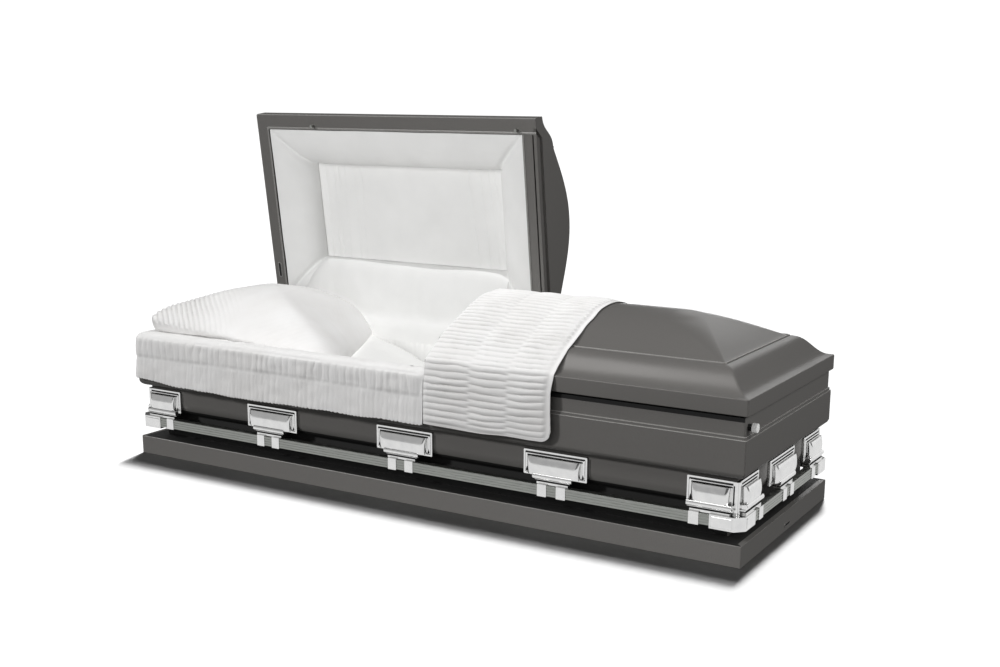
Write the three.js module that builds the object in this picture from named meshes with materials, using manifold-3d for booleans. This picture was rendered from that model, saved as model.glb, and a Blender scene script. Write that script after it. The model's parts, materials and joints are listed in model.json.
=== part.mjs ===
import * as THREE from "three";
import { mergeVertices } from "three/addons/utils/BufferGeometryUtils.js";
import Module from "manifold-3d";

// Sizes in millimetres: x runs to the foot end, y to the hinge side, z up
const HALF_LENGTH = 1054;
const HALF_WIDTH = 351;
const SHEET = 1.2;
const GAP = 0.3;

// Heights of the body, and setbacks from the plinth's outer face
const PLINTH_TOP = 58.7;
const WALL_FOOT_SETBACK = 60;
const WALL_TOP_SETBACK = 28;
const WALL_TOP = 229;
const TURN_TOP = 180;
const TURN_BOTTOM = 140;
const BELT_BOTTOM = 248;
const BELT_TOP = 336;
const BEAD_OUT = 2.2;
const BAND_SETBACK = 7;
const LEDGE_TOP = 391;
const LEDGE_INNER_SETBACK = 52;

// Lids: setbacks here are from the rim's outer face
const RIM_OUT = 3.2;
const RIM_BOTTOM = 396.1;
const RIM_TOP = 439.8;
const FLANGE = 52;
const BEAD_SETBACK = 103;
const BEAD_HEIGHT = 502;
const DOME_SETBACK = 110;
const DOME_FOOT = 503.5;
const DOME_TOP = 588;
const HEAD_LID_END = 89.4;
const FOOT_LID_END = 92.4;
const RECESS_DEPTH = 10;
const RECESS_HEIGHT = 37;
const RECESS_END = 30;

// Hinges
const HINGE_Y = 359.5;
const HINGE_Z = 395.5;
const OPEN_ANGLE = THREE.MathUtils.degToRad(82.5);
const KNUCKLE_RADIUS = 4.5;
const LEAF_WIDTH = 100;
const LEAF_SHEET = 2;
const HINGE_HEAD_X = [-800, -150];
const HINGE_FOOT_X = [350, 850];

// Carrying hardware
const LUG_WIDTH = 198;
const LUG_BOTTOM = 148;
const LUG_TOP = 220;
const LUG_FACE_SETBACK = 20;
const LUG_SPACING = 503;
const PANEL_WIDTH = 160;
const NECK_WIDTH = 114;
const COLLAR_WIDTH = 29;
const COLLAR_GAP = 30;
const CORNER_PLATE = 143;
const TIP_LENGTH = 90;
const TIP_CHAMFER = 22;
const BAR_BOTTOM = 99;
const BAR_TOP = 129;
const BAR_DEPTH = 24;
const COLLAR_SKIN = 2;

// Soft parts
const LINING_SETBACK = 57;
const LINING_THICK = 8;
const LINING_BOTTOM = 150;
const BED_TOP = 232;
const BED_BOTTOM = 172;
const BED_RAISED_TOP = 404;
const THROW_START = 95;
const THROW_END = 507;
const THROW_THICK = 6;
const THROW_HEM = 256;
const SKIRT_HEM = 260;
const SKIRT_TOP = 407;

const RIM_X = HALF_LENGTH + RIM_OUT;
const RIM_Y = HALF_WIDTH + RIM_OUT;
const BAR_MID = (BAR_BOTTOM + BAR_TOP) / 2;

const wasm = await Module();
wasm.setup();
const casket = new THREE.Group();

// Finishes of the solids
const FINISHES = {
  paint: { color: 0x4b4845, roughness: 0.35, metalness: 0.5 },
  chrome: { color: 0xd8d9da, roughness: 0.1, metalness: 1 },
  bar: { color: 0x8e908d, roughness: 0.35, metalness: 1 },
  cloth: { color: 0xf1f0ee, roughness: 0.9, metalness: 0 },
  dark: { color: 0x2a2a2a, roughness: 0.6, metalness: 0 },
};

function add(name, geometry, finish) {
  const material = new THREE.MeshStandardMaterial(FINISHES[finish]);
  const mesh = new THREE.Mesh(geometry, material);
  mesh.name = name;
  casket.add(mesh);
}

// Solid helpers
function bare(geometry) {
  const flat = geometry.index ? geometry.toNonIndexed() : geometry.clone();
  const out = new THREE.BufferGeometry();
  out.setAttribute("position", flat.getAttribute("position"));
  return mergeVertices(out, 1e-4);
}

function signedVolume(points, faces) {
  const [a, b, c] = [new THREE.Vector3(), new THREE.Vector3(), new THREE.Vector3()];
  let sum = 0;
  for (let i = 0; i < faces.length; i += 3) {
    a.fromArray(points, faces[i] * 3);
    b.fromArray(points, faces[i + 1] * 3);
    c.fromArray(points, faces[i + 2] * 3);
    sum += a.dot(b.cross(c));
  }
  return sum;
}

function fromArrays(points, faces) {
  const turned = signedVolume(points, faces) < 0 ? faces.slice().reverse() : faces;
  const geometry = new THREE.BufferGeometry();
  geometry.setAttribute("position", new THREE.Float32BufferAttribute(points, 3));
  geometry.setIndex(turned);
  geometry.computeVertexNormals();
  return geometry;
}

function toSolid(geometry) {
  const clean = bare(geometry);
  return new wasm.Manifold(
    new wasm.Mesh({
      numProp: 3,
      vertProperties: clean.getAttribute("position").array,
      triVerts: new Uint32Array(clean.index.array),
    }),
  );
}

function toGeometry(solid) {
  const mesh = solid.getMesh();
  return fromArrays(Array.from(mesh.vertProperties), Array.from(mesh.triVerts));
}

function join(...geometries) {
  return toGeometry(geometries.map(toSolid).reduce((all, next) => all.add(next)));
}

function common(first, second) {
  return toGeometry(toSolid(first).intersect(toSolid(second)));
}

function cut(first, ...others) {
  const rest = others.map(toSolid);
  return toGeometry(rest.reduce((all, next) => all.subtract(next), toSolid(first)));
}

function box(x0, x1, y0, y1, z0, z1) {
  const geometry = new THREE.BoxGeometry(x1 - x0, y1 - y0, z1 - z0);
  return geometry.translate((x0 + x1) / 2, (y0 + y1) / 2, (z0 + z1) / 2);
}

function rod(radius, length, sides) {
  return new THREE.CylinderGeometry(radius, radius, length, sides);
}

// Rings of points joined into a skin, closed round each ring
function skin(rings, closed) {
  const size = rings[0].length;
  const points = rings.flat(2);
  const faces = [];
  const last = closed ? rings.length : rings.length - 1;
  for (let i = 0; i < last; i++) {
    const j = (i + 1) % rings.length;
    for (let k = 0; k < size; k++) {
      const m = (k + 1) % size;
      faces.push(i * size + k, i * size + m, j * size + m);
      faces.push(i * size + k, j * size + m, j * size + k);
    }
  }
  if (!closed) {
    const ends = [rings[0], rings[rings.length - 1]];
    ends.forEach((ring, side) => {
      const base = side ? (rings.length - 1) * size : 0;
      capFaces(ring).forEach(([a, b, c]) => {
        faces.push(...(side ? [base + a, base + b, base + c] : [base + c, base + b, base + a]));
      });
    });
  }
  return fromArrays(points, faces);
}

// Flat cap of a ring, seen along the axis where the ring is widest
function capFaces(ring) {
  const spans = [0, 1, 2].map((axis) => {
    const values = ring.map((point) => point[axis]);
    return Math.max(...values) - Math.min(...values);
  });
  const thin = spans.indexOf(Math.min(...spans));
  const flat = ring.map((point) => new THREE.Vector2(point[(thin + 1) % 3], point[(thin + 2) % 3]));
  const turned = THREE.ShapeUtils.isClockWise(flat);
  const faces = THREE.ShapeUtils.triangulateShape(flat, []);
  const first = faces[0].map((k) => flat[k]);
  const inOrder = !THREE.ShapeUtils.isClockWise(first) === !turned;
  return inOrder ? faces : faces.map(([a, b, c]) => [c, b, a]);
}

// A rectangle set in from the given half sizes
function rectangle(halfX, halfY, [setback, z]) {
  const x = halfX - setback;
  const y = halfY - setback;
  return [
    [-x, -y, z],
    [x, -y, z],
    [x, y, z],
    [-x, y, z],
  ];
}

function rectStack(levels, halfX, halfY) {
  return skin(levels.map((level) => rectangle(halfX, halfY, level)), false);
}

function rectRing(profile, halfX, halfY) {
  return skin(profile.map((level) => rectangle(halfX, halfY, level)), true);
}

// The same line set off to its left by the sheet's thickness
function offsetLine(line, distance) {
  return line.map(([s, z], i) => {
    const before = line[Math.max(i - 1, 0)];
    const after = line[Math.min(i + 1, line.length - 1)];
    const directions = [];
    if (i > 0) directions.push(new THREE.Vector2(s - before[0], z - before[1]).normalize());
    if (i < line.length - 1) directions.push(new THREE.Vector2(after[0] - s, after[1] - z).normalize());
    const normals = directions.map((d) => new THREE.Vector2(-d.y, d.x));
    const normal = normals.reduce((sum, n) => sum.add(n), new THREE.Vector2()).normalize();
    const scale = distance / normal.dot(new THREE.Vector2(-directions[0].y, directions[0].x));
    return [s + normal.x * scale, z + normal.y * scale];
  });
}

function sheetProfile(line, thickness) {
  return [...line, ...offsetLine(line, thickness).reverse()];
}

// An ellipse's quarter from one point to another, with level or upright start
function quarter(from, to, steps, levelStart) {
  const points = [];
  for (let i = 0; i <= steps; i++) {
    const a = (i / steps) * (Math.PI / 2);
    const along = levelStart ? Math.sin(a) : 1 - Math.cos(a);
    const up = levelStart ? 1 - Math.cos(a) : Math.sin(a);
    points.push([from[0] + (to[0] - from[0]) * along, from[1] + (to[1] - from[1]) * up]);
  }
  return points;
}

// A profile of setback and height, run along one side of the casket
function along(profile, from, to, holes = []) {
  const shape = new THREE.Shape(profile.map(([s, z]) => new THREE.Vector2(s, z)));
  holes.forEach((hole) => {
    shape.holes.push(new THREE.Path(hole.map(([s, z]) => new THREE.Vector2(s, z))));
  });
  const geometry = new THREE.ExtrudeGeometry(shape, { depth: to - from, bevelEnabled: false });
  const turn = new THREE.Matrix4().set(0, 0, 1, from, 1, 0, 0, 0, 0, 1, 0, 0, 0, 0, 0, 1);
  return geometry.applyMatrix4(turn);
}

// The four sides in turn: setbacks run inwards from each side's plinth face
const SIDES = {
  front: { turn: 0, x: 0, y: -HALF_WIDTH, half: HALF_LENGTH },
  foot: { turn: Math.PI / 2, x: HALF_LENGTH, y: 0, half: HALF_WIDTH },
  back: { turn: Math.PI, x: 0, y: HALF_WIDTH, half: HALF_LENGTH },
  head: { turn: -Math.PI / 2, x: -HALF_LENGTH, y: 0, half: HALF_WIDTH },
};

function place(geometry, side) {
  return geometry.rotateZ(SIDES[side].turn).translate(SIDES[side].x, SIDES[side].y, 0);
}

// Base pan: floor, plinth wall with an eased top edge, and the ledge
function basePan() {
  const edge = quarter([0, PLINTH_TOP - 4], [4, PLINTH_TOP], 3, false);
  const inner = WALL_FOOT_SETBACK + 12;
  return rectStack(
    [
      [0, 0],
      ...edge,
      [inner, PLINTH_TOP],
      [inner, PLINTH_TOP - SHEET],
      [SHEET + 3, PLINTH_TOP - SHEET],
      [SHEET, PLINTH_TOP - SHEET - 3],
      [SHEET, SHEET],
    ],
    HALF_LENGTH,
    HALF_WIDTH,
  );
}
add("base_pan", basePan(), "paint");

// The lower wall turns under above the bars and drops to the plinth
function wallSetback(z) {
  const t = Math.min(1, Math.max(0, (TURN_TOP - z) / (TURN_TOP - TURN_BOTTOM)));
  return WALL_TOP_SETBACK + (WALL_FOOT_SETBACK - WALL_TOP_SETBACK) * (1 - Math.sqrt(1 - t * t));
}

function bodyShell() {
  const line = [[WALL_FOOT_SETBACK, PLINTH_TOP + GAP]];
  for (let i = 6; i >= 0; i--) {
    const z = TURN_TOP - (TURN_TOP - TURN_BOTTOM) * Math.sin((Math.PI / 12) * i);
    line.push([wallSetback(z), z]);
  }
  line.push([WALL_TOP_SETBACK, WALL_TOP]);
  line.push(...quarter([22, WALL_TOP + 1], [0, BELT_BOTTOM], 5, true));
  line.push([0, BELT_TOP]);
  line.push([-BEAD_OUT, BELT_TOP + 2.2]);
  line.push([-BEAD_OUT, BELT_TOP + 5]);
  line.push([0.5, BELT_TOP + 7.6]);
  line.push([BAND_SETBACK, BELT_TOP + 8.5]);
  line.push([BAND_SETBACK, LEDGE_TOP - 3]);
  line.push([BAND_SETBACK + 3, LEDGE_TOP]);
  line.push([LEDGE_INNER_SETBACK, LEDGE_TOP]);
  line.push([LEDGE_INNER_SETBACK, LEDGE_TOP - 20]);
  return rectRing(sheetProfile(line, -SHEET), HALF_LENGTH, HALF_WIDTH);
}

// Latch pins stand on the head lid's flange and drop into holes in the ledge
const PIN_X = [-802, 21];
const PIN_Y = -RIM_Y + 38;
const pinHoles = PIN_X.map((x) => rod(8, 20, 16).rotateX(Math.PI / 2).translate(x, PIN_Y, LEDGE_TOP));
add("body_shell", cut(bodyShell(), ...pinHoles), "paint");

// Lids: the rim, the ogee, the bead and the dome as setback and height
function lidLine() {
  const line = [
    [0, RIM_BOTTOM],
    [0, RIM_TOP - 2],
    [2, RIM_TOP],
  ];
  const steps = 9;
  for (let i = 1; i <= steps; i++) {
    const t = i / steps;
    const rise = t - Math.sin(2 * Math.PI * t) / (2.6 * Math.PI);
    line.push([2 + (BEAD_SETBACK - 2) * t, RIM_TOP + (BEAD_HEIGHT - RIM_TOP) * rise]);
  }
  line.push([BEAD_SETBACK + 1.5, BEAD_HEIGHT + 3.5]);
  line.push([BEAD_SETBACK + 4.5, BEAD_HEIGHT + 3.5]);
  const ridge = RIM_Y - 3;
  for (let i = 0; i <= 11; i++) {
    const t = i / 11;
    const rise = Math.sin((Math.PI / 2) * t) ** 1.04;
    line.push([DOME_SETBACK + (ridge - DOME_SETBACK) * t, DOME_FOOT + (DOME_TOP - DOME_FOOT) * rise]);
  }
  return line;
}

function wholeLid() {
  const outer = lidLine();
  const inner = offsetLine(outer, -SHEET);
  const flange = [
    [SHEET, RIM_BOTTOM + SHEET],
    [FLANGE, RIM_BOTTOM + SHEET],
    [FLANGE, RIM_BOTTOM],
  ];
  const chain = [...inner.slice(1).reverse(), ...flange, ...outer];
  return rectStack(chain, RIM_X, RIM_Y);
}

// One lid from its outer end to the split, with a recessed panel at the split
function lidShell(low, high, splitAt, inward) {
  const wide = RIM_Y + 20;
  const half = common(wholeLid(), box(low, high, -wide, wide, 0, 1000));
  const filled = rectStack(lidLine(), RIM_X, RIM_Y);
  const slab = (from, to, y, z0, z1) => {
    const ends = [splitAt + inward * from, splitAt + inward * to];
    return box(Math.min(...ends), Math.max(...ends), -y, y, z0, z1);
  };
  const recessTop = RIM_BOTTOM + RECESS_HEIGHT;
  const recessSide = RIM_Y - RECESS_END;
  const panel = common(filled, slab(0, SHEET, wide, 0, 1000));
  const opening = slab(-1, SHEET + 1, recessSide, 0, recessTop);
  const back = common(filled, slab(RECESS_DEPTH, RECESS_DEPTH + SHEET, wide, 0, recessTop + SHEET));
  const top = slab(0, RECESS_DEPTH + SHEET, recessSide, recessTop, recessTop + SHEET);
  const lip = slab(0, RECESS_DEPTH + SHEET, recessSide, RIM_BOTTOM, RIM_BOTTOM + SHEET);
  const flange = slab(RECESS_DEPTH + 5, FLANGE, RIM_Y - 10, RIM_BOTTOM, RIM_BOTTOM + SHEET);
  const cheeks = [-1, 1].map((side) => {
    const ends = [splitAt, splitAt + inward * (RECESS_DEPTH + SHEET)];
    const edges = [side * recessSide, side * (recessSide + SHEET)];
    return box(Math.min(...ends), Math.max(...ends), Math.min(...edges), Math.max(...edges),
      RIM_BOTTOM, recessTop + SHEET);
  });
  return join(half, cut(panel, opening), back, top, lip, flange, ...cheeks);
}

// Turns a closed-lid shape open about the hinge line
function opened(geometry) {
  return geometry
    .translate(0, -HINGE_Y, -HINGE_Z)
    .rotateX(-OPEN_ANGLE)
    .translate(0, HINGE_Y, HINGE_Z);
}

add("head_lid_shell", opened(lidShell(-RIM_X - 20, HEAD_LID_END, HEAD_LID_END, -1)), "paint");
add("foot_lid_shell", lidShell(FOOT_LID_END, RIM_X + 20, FOOT_LID_END, 1), "paint");

// Padded roll round the inside of the head lid, and the panel within it
const LID_MID_X = (HEAD_LID_END - RIM_X) / 2;
const LID_HALF_X = (HEAD_LID_END + RIM_X) / 2;
const ROLL_WIDTH = 128;
const PANEL_BOTTOM = 487;
const ROLL_INNER = FLANGE + 2 + ROLL_WIDTH;

function lidRoll() {
  const start = [FLANGE + 2, RIM_BOTTOM + 3];
  const lower = quarter(start, [ROLL_INNER, PANEL_BOTTOM - 6], 6, true);
  const upper = [
    [ROLL_INNER, PANEL_BOTTOM + 8],
    [FLANGE + 50, PANEL_BOTTOM + 4],
    [FLANGE + 2, RIM_BOTTOM + 45],
  ];
  return rectRing([...lower, ...upper], LID_HALF_X, RIM_Y).translate(LID_MID_X, 0, 0);
}
add("lid_roll", opened(lidRoll()), "cloth");

const panelX = LID_HALF_X - ROLL_INNER - 1;
const panelY = RIM_Y - ROLL_INNER - 1;
const lidPanel = box(-panelX, panelX, -panelY, panelY, PANEL_BOTTOM, PANEL_BOTTOM + 8);
add("lid_panel", opened(lidPanel.translate(LID_MID_X, 0, 0)), "cloth");

PIN_X.forEach((x, i) => {
  const pin = rod(5, 14, 16).rotateX(Math.PI / 2).translate(x, PIN_Y, RIM_BOTTOM - GAP - 7);
  add(`latch_pin_${i + 1}`, opened(pin), "chrome");
});

// Hinges: outer knuckles on the fixed leaf, the middle one on the lid's leaf
function knuckle(from, to) {
  const barrel = rod(KNUCKLE_RADIUS, to - from, 16).rotateZ(Math.PI / 2);
  return barrel.translate((from + to) / 2, HINGE_Y, HINGE_Z);
}

function fixedLeaf(x) {
  const band = HALF_WIDTH - BAND_SETBACK + GAP;
  const half = LEAF_WIDTH / 2;
  const plate = box(x - half, x + half, band, band + LEAF_SHEET, LEDGE_TOP - 36, LEDGE_TOP - 4);
  const parts = [plate];
  [-half, half - 25].forEach((start) => {
    const from = x + start;
    const arm = new THREE.Shape([
      new THREE.Vector2(band + 0.5, LEDGE_TOP - 12),
      new THREE.Vector2(HINGE_Y - 1, HINGE_Z - 4),
      new THREE.Vector2(HINGE_Y - 1, HINGE_Z),
      new THREE.Vector2(HINGE_Y - 4, HINGE_Z - 1),
      new THREE.Vector2(band + 0.5, LEDGE_TOP - 6),
    ]);
    const solid = new THREE.ExtrudeGeometry(arm, { depth: 25, bevelEnabled: false });
    const turn = new THREE.Matrix4().set(0, 0, 1, from, 1, 0, 0, 0, 0, 1, 0, 0, 0, 0, 0, 1);
    parts.push(solid.applyMatrix4(turn), knuckle(from, from + 25));
  });
  return join(...parts);
}

function lidLeaf(x) {
  const half = LEAF_WIDTH / 2;
  const back = RIM_Y + GAP;
  const plate = box(x - half, x + half, back, back + LEAF_SHEET, HINGE_Z + 6, RIM_TOP - 5);
  const tongue = box(x - half + 25.5, x + half - 25.5, back, back + LEAF_SHEET, HINGE_Z - 1, HINGE_Z + 8);
  return join(plate, tongue, knuckle(x - half + 25.5, x + half - 25.5));
}

HINGE_HEAD_X.forEach((x, i) => {
  add(`hinge_head_${i + 1}`, fixedLeaf(x), "paint");
  add(`lid_leaf_head_${i + 1}`, opened(lidLeaf(x)), "paint");
});
HINGE_FOOT_X.forEach((x, i) => {
  add(`hinge_foot_${i + 1}`, fixedLeaf(x), "paint");
  add(`lid_leaf_foot_${i + 1}`, lidLeaf(x), "paint");
});

// Lug plate with its raised frame and pillow, as profiles of setback and height
const plateProfile = [
  [WALL_TOP_SETBACK - 3 * GAP, LUG_BOTTOM],
  [WALL_TOP_SETBACK - 3 * GAP, LUG_TOP],
  [LUG_FACE_SETBACK + 2, LUG_TOP],
  [LUG_FACE_SETBACK, LUG_TOP - 2],
  [LUG_FACE_SETBACK, LUG_BOTTOM + 2],
  [LUG_FACE_SETBACK + 2, LUG_BOTTOM],
];
const stepProfile = [
  [LUG_FACE_SETBACK + 1, LUG_TOP - 9],
  [LUG_FACE_SETBACK - 4, LUG_TOP - 10],
  [LUG_FACE_SETBACK - 4, LUG_BOTTOM + 6],
  [LUG_FACE_SETBACK + 1, LUG_BOTTOM + 5],
];

function pillowProfile() {
  const low = LUG_BOTTOM - 3;
  const high = LUG_TOP - 17;
  const points = [[LUG_FACE_SETBACK + 1, high]];
  for (let i = 0; i <= 6; i++) {
    const t = i / 6;
    const bulge = 8 + 13 * Math.sin(Math.PI * (0.12 + 0.62 * t));
    points.push([LUG_FACE_SETBACK - bulge, high - (high - low) * t]);
  }
  points.push([LUG_FACE_SETBACK + 1, low]);
  return points;
}

const neckProfile = [
  [LUG_FACE_SETBACK + 6, LUG_BOTTOM + 4],
  [6, LUG_BOTTOM + 4],
  [3, LUG_BOTTOM - 4],
  [4, BAR_TOP + COLLAR_SKIN],
  [BAR_DEPTH, BAR_TOP + COLLAR_SKIN],
];

const collarOuter = [
  [-COLLAR_SKIN, BAR_BOTTOM - COLLAR_SKIN],
  [BAR_DEPTH + COLLAR_SKIN, BAR_BOTTOM - COLLAR_SKIN],
  [BAR_DEPTH + COLLAR_SKIN, BAR_TOP + COLLAR_SKIN + 1],
  [-COLLAR_SKIN, BAR_TOP + COLLAR_SKIN + 1],
];
const collarHole = [
  [-GAP, BAR_BOTTOM - GAP],
  [BAR_DEPTH + GAP, BAR_BOTTOM - GAP],
  [BAR_DEPTH + GAP, BAR_TOP + GAP],
  [-GAP, BAR_TOP + GAP],
];

function collar(from, to) {
  return along(collarOuter, from, to, [collarHole]);
}

function lug(middle) {
  const span = (width) => [middle - width / 2, middle + width / 2];
  const inner = COLLAR_GAP / 2;
  return join(
    along(plateProfile, ...span(LUG_WIDTH)),
    along(stepProfile, ...span(LUG_WIDTH - 22)),
    along(pillowProfile(), ...span(PANEL_WIDTH)),
    along(neckProfile, ...span(NECK_WIDTH)),
    collar(middle - inner - COLLAR_WIDTH, middle - inner),
    collar(middle + inner, middle + inner + COLLAR_WIDTH),
  );
}

["front", "back"].forEach((side) => {
  [-1, 0, 1].forEach((k, i) => add(`lug_${side}_${i + 1}`, place(lug(k * LUG_SPACING), side), "chrome"));
});
["foot", "head"].forEach((side) => add(`lug_${side}`, place(lug(0), side), "chrome"));

// Corner lugs: a plate on each side of the corner, with a chamfered tip below
function cornerArm(side, end) {
  const half = SIDES[side].half;
  const span = (from, to) => {
    const ends = [end * (half - from), end * (half - to)];
    return [Math.min(...ends), Math.max(...ends)];
  };
  const far = LUG_FACE_SETBACK + CORNER_PLATE;
  const parts = [
    along(plateProfile, ...span(LUG_FACE_SETBACK + 2, far)),
    along(stepProfile, ...span(LUG_FACE_SETBACK + 16, far - 11)),
    along(pillowProfile(), ...span(LUG_FACE_SETBACK + 22, far - 18)),
    along(neckProfile, ...span(LUG_FACE_SETBACK + 10, far - 8)),
    collar(...span(TIP_LENGTH + COLLAR_WIDTH, TIP_LENGTH + 2 * COLLAR_WIDTH)),
  ];
  return parts.map((part) => place(part, side));
}

function cornerTip(corner) {
  const out = COLLAR_SKIN;
  const inner = BAR_DEPTH + COLLAR_SKIN;
  const plan = [
    [TIP_LENGTH, -out],
    [TIP_CHAMFER, -out],
    [-out, TIP_CHAMFER],
    [-out, TIP_LENGTH],
    [inner, TIP_LENGTH],
    [inner, inner],
    [TIP_LENGTH, inner],
  ];
  const ring = (z) =>
    plan.map(([a, b]) => [corner.x * (HALF_LENGTH - a), corner.y * (HALF_WIDTH - b), z]);
  return skin([ring(BAR_BOTTOM - 6), ring(BAR_TOP + COLLAR_SKIN + 1)], false);
}

function cornerPost(corner) {
  const near = LUG_FACE_SETBACK + 1;
  const far = LUG_FACE_SETBACK + 7;
  const edges = (sign, half) => [sign * (half - near), sign * (half - far)].sort((a, b) => a - b);
  return box(...edges(corner.x, HALF_LENGTH), ...edges(corner.y, HALF_WIDTH), BAR_TOP, LUG_TOP - 1);
}

const CORNERS = [
  { name: "front_foot", x: 1, y: -1, sides: ["front", "foot"] },
  { name: "back_foot", x: 1, y: 1, sides: ["foot", "back"] },
  { name: "back_head", x: -1, y: 1, sides: ["back", "head"] },
  { name: "front_head", x: -1, y: -1, sides: ["head", "front"] },
];
CORNERS.forEach((corner) => {
  const arms = [...cornerArm(corner.sides[0], 1), ...cornerArm(corner.sides[1], -1)];
  add(`corner_lug_${corner.name}`, join(cornerTip(corner), cornerPost(corner), ...arms), "chrome");
});

// Square bars with two shallow grooves in the outer face
const barProfile = [
  [0, BAR_BOTTOM],
  [BAR_DEPTH, BAR_BOTTOM],
  [BAR_DEPTH, BAR_TOP],
  [0, BAR_TOP],
  [0, BAR_MID + 6],
  [1.5, BAR_MID + 5],
  [1.5, BAR_MID - 5],
  [0, BAR_MID - 6],
];
Object.keys(SIDES).forEach((side) => {
  const reach = SIDES[side].half - TIP_LENGTH - GAP;
  add(`bar_${side}`, place(along(barProfile, -reach, reach), side), "bar");
});

// Screw cap and neck at the foot end
const TUBE = { y: -321, z: 364, start: HALF_LENGTH - BAND_SETBACK + GAP, neck: 11, cap: 13 };

function tubePiece(radius, from, length) {
  return rod(radius, length, 24).rotateZ(Math.PI / 2).translate(from + length / 2, TUBE.y, TUBE.z);
}
add("tube_neck", tubePiece(9, TUBE.start, TUBE.neck), "dark");
add("tube_cap", tubePiece(12, TUBE.start + TUBE.neck + GAP, TUBE.cap), "chrome");

// Soft interior
const liningProfile = [
  [LINING_SETBACK, LINING_BOTTOM],
  [LINING_SETBACK + LINING_THICK, LINING_BOTTOM],
  [LINING_SETBACK + LINING_THICK, LEDGE_TOP - 2],
  [LINING_SETBACK, LEDGE_TOP - 2],
];
add("body_lining", rectRing(liningProfile, HALF_LENGTH, HALF_WIDTH), "cloth");

const bedX = HALF_LENGTH - LINING_SETBACK - LINING_THICK - 2;
const bedY = HALF_WIDTH - LINING_SETBACK - LINING_THICK - 10;

// The bed is raised under the pillow
function mattress() {
  const thick = BED_TOP - BED_BOTTOM;
  const upper = [
    [-bedX, BED_RAISED_TOP - 10],
    [-620, BED_RAISED_TOP - 20],
    [-400, BED_TOP + 86],
    [-230, BED_TOP],
    [bedX, BED_TOP],
  ];
  const lower = offsetLine(upper, -thick).reverse();
  lower[0] = [bedX, BED_BOTTOM];
  lower[lower.length - 1] = [-bedX, BED_RAISED_TOP - 10 - thick];
  const rings = [-bedY, bedY].map((y) => [...upper, ...lower].map(([x, z]) => [x, y, z]));
  return skin(rings, false);
}
add("mattress", mattress(), "cloth");

// Pillow: rounded cushion that slopes down towards the foot end
function pillow() {
  const middle = [-715, -17];
  const half = [325, 284];
  const rows = 8;
  const sides = 28;
  const rings = [];
  for (let i = 0; i <= rows; i++) {
    const a = -Math.PI / 2 + 0.22 + ((Math.PI - 0.44) * i) / rows;
    const reach = Math.cos(a) ** 0.45;
    rings.push(
      Array.from({ length: sides }, (_, k) => {
        const b = (2 * Math.PI * k) / sides;
        const power = 0.42;
        const u = Math.sign(Math.cos(b)) * Math.abs(Math.cos(b)) ** power;
        const v = Math.sign(Math.sin(b)) * Math.abs(Math.sin(b)) ** power;
        const slope = 85 * Math.max(0, u * reach) ** 1.4;
        const lift = Math.sin(a) * (a > 0 ? 96 : 34);
        const z = 446 + lift - slope;
        return [middle[0] + half[0] * u * reach, middle[1] + half[1] * v * reach, z];
      }),
    );
  }
  return skin(rings, false);
}
add("pillow", pillow(), "cloth");

// Skirt laid over the ledge, along the front and round the head end
function skirt() {
  const profile = [
    [56, LEDGE_TOP + 1.3],
    [56, SKIRT_TOP - 8],
    [40, SKIRT_TOP - 2],
    [14, SKIRT_TOP],
    [-6, SKIRT_TOP - 3],
    [-12, SKIRT_TOP - 12],
    [-13, 330],
    [-13, SKIRT_HEM],
    [-5.5, SKIRT_HEM],
    [-5.5, LEDGE_TOP - 5],
    [0, LEDGE_TOP + 1.3],
  ];
  const stations = [
    ([s, z]) => [HEAD_LID_END - 1, s - HALF_WIDTH, z],
    ([s, z]) => [s - HALF_LENGTH, s - HALF_WIDTH, z],
    ([s, z]) => [s - HALF_LENGTH, 296, z],
  ];
  return skin(stations.map((station) => profile.map(station)), false);
}
add("skirt", skirt(), "cloth");

// Apron that rises from inside the back wall, over the ledge, against the open lid
function apron() {
  const front = [
    [277.5, 340],
    [277.5, 388],
    [284, 400],
    [300, 406],
    [316, 432],
    [328, 482],
    [335, 532],
    [341, 584],
  ];
  const back = offsetLine(front, -6).reverse();
  const rings = [-900, -48].map((x) => [...front, ...back].map(([y, z]) => [x, y, z]));
  return skin(rings, false);
}
add("apron", apron(), "cloth");

// Throw: follows the foot lid from behind the ridge down over the front
function throwCloth() {
  const lid = lidLine().filter(([s, z]) => s > 2 || z > RIM_TOP - 3);
  const hang = [[-14, THROW_HEM], [-14, BELT_TOP], [-5, RIM_BOTTOM]];
  const path = [...hang, ...lid.map(([s, z]) => [s - 1, z + 1.5])];
  const beyond = lidLine()
    .filter(([s]) => s > 190)
    .reverse()
    .map(([s, z]) => [2 * RIM_Y - s, z + 1.5]);
  const under = [...path, ...beyond];
  const profile = sheetProfile(under, THROW_THICK);
  const rings = [THROW_START, THROW_END].map((x) => profile.map(([s, z]) => [x, s - RIM_Y, z]));
  return skin(rings, false);
}
add("throw", throwCloth(), "cloth");

export default casket;
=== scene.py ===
import json
import math

import bmesh
import bpy
import numpy as np
from mathutils import Matrix, Vector

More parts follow.
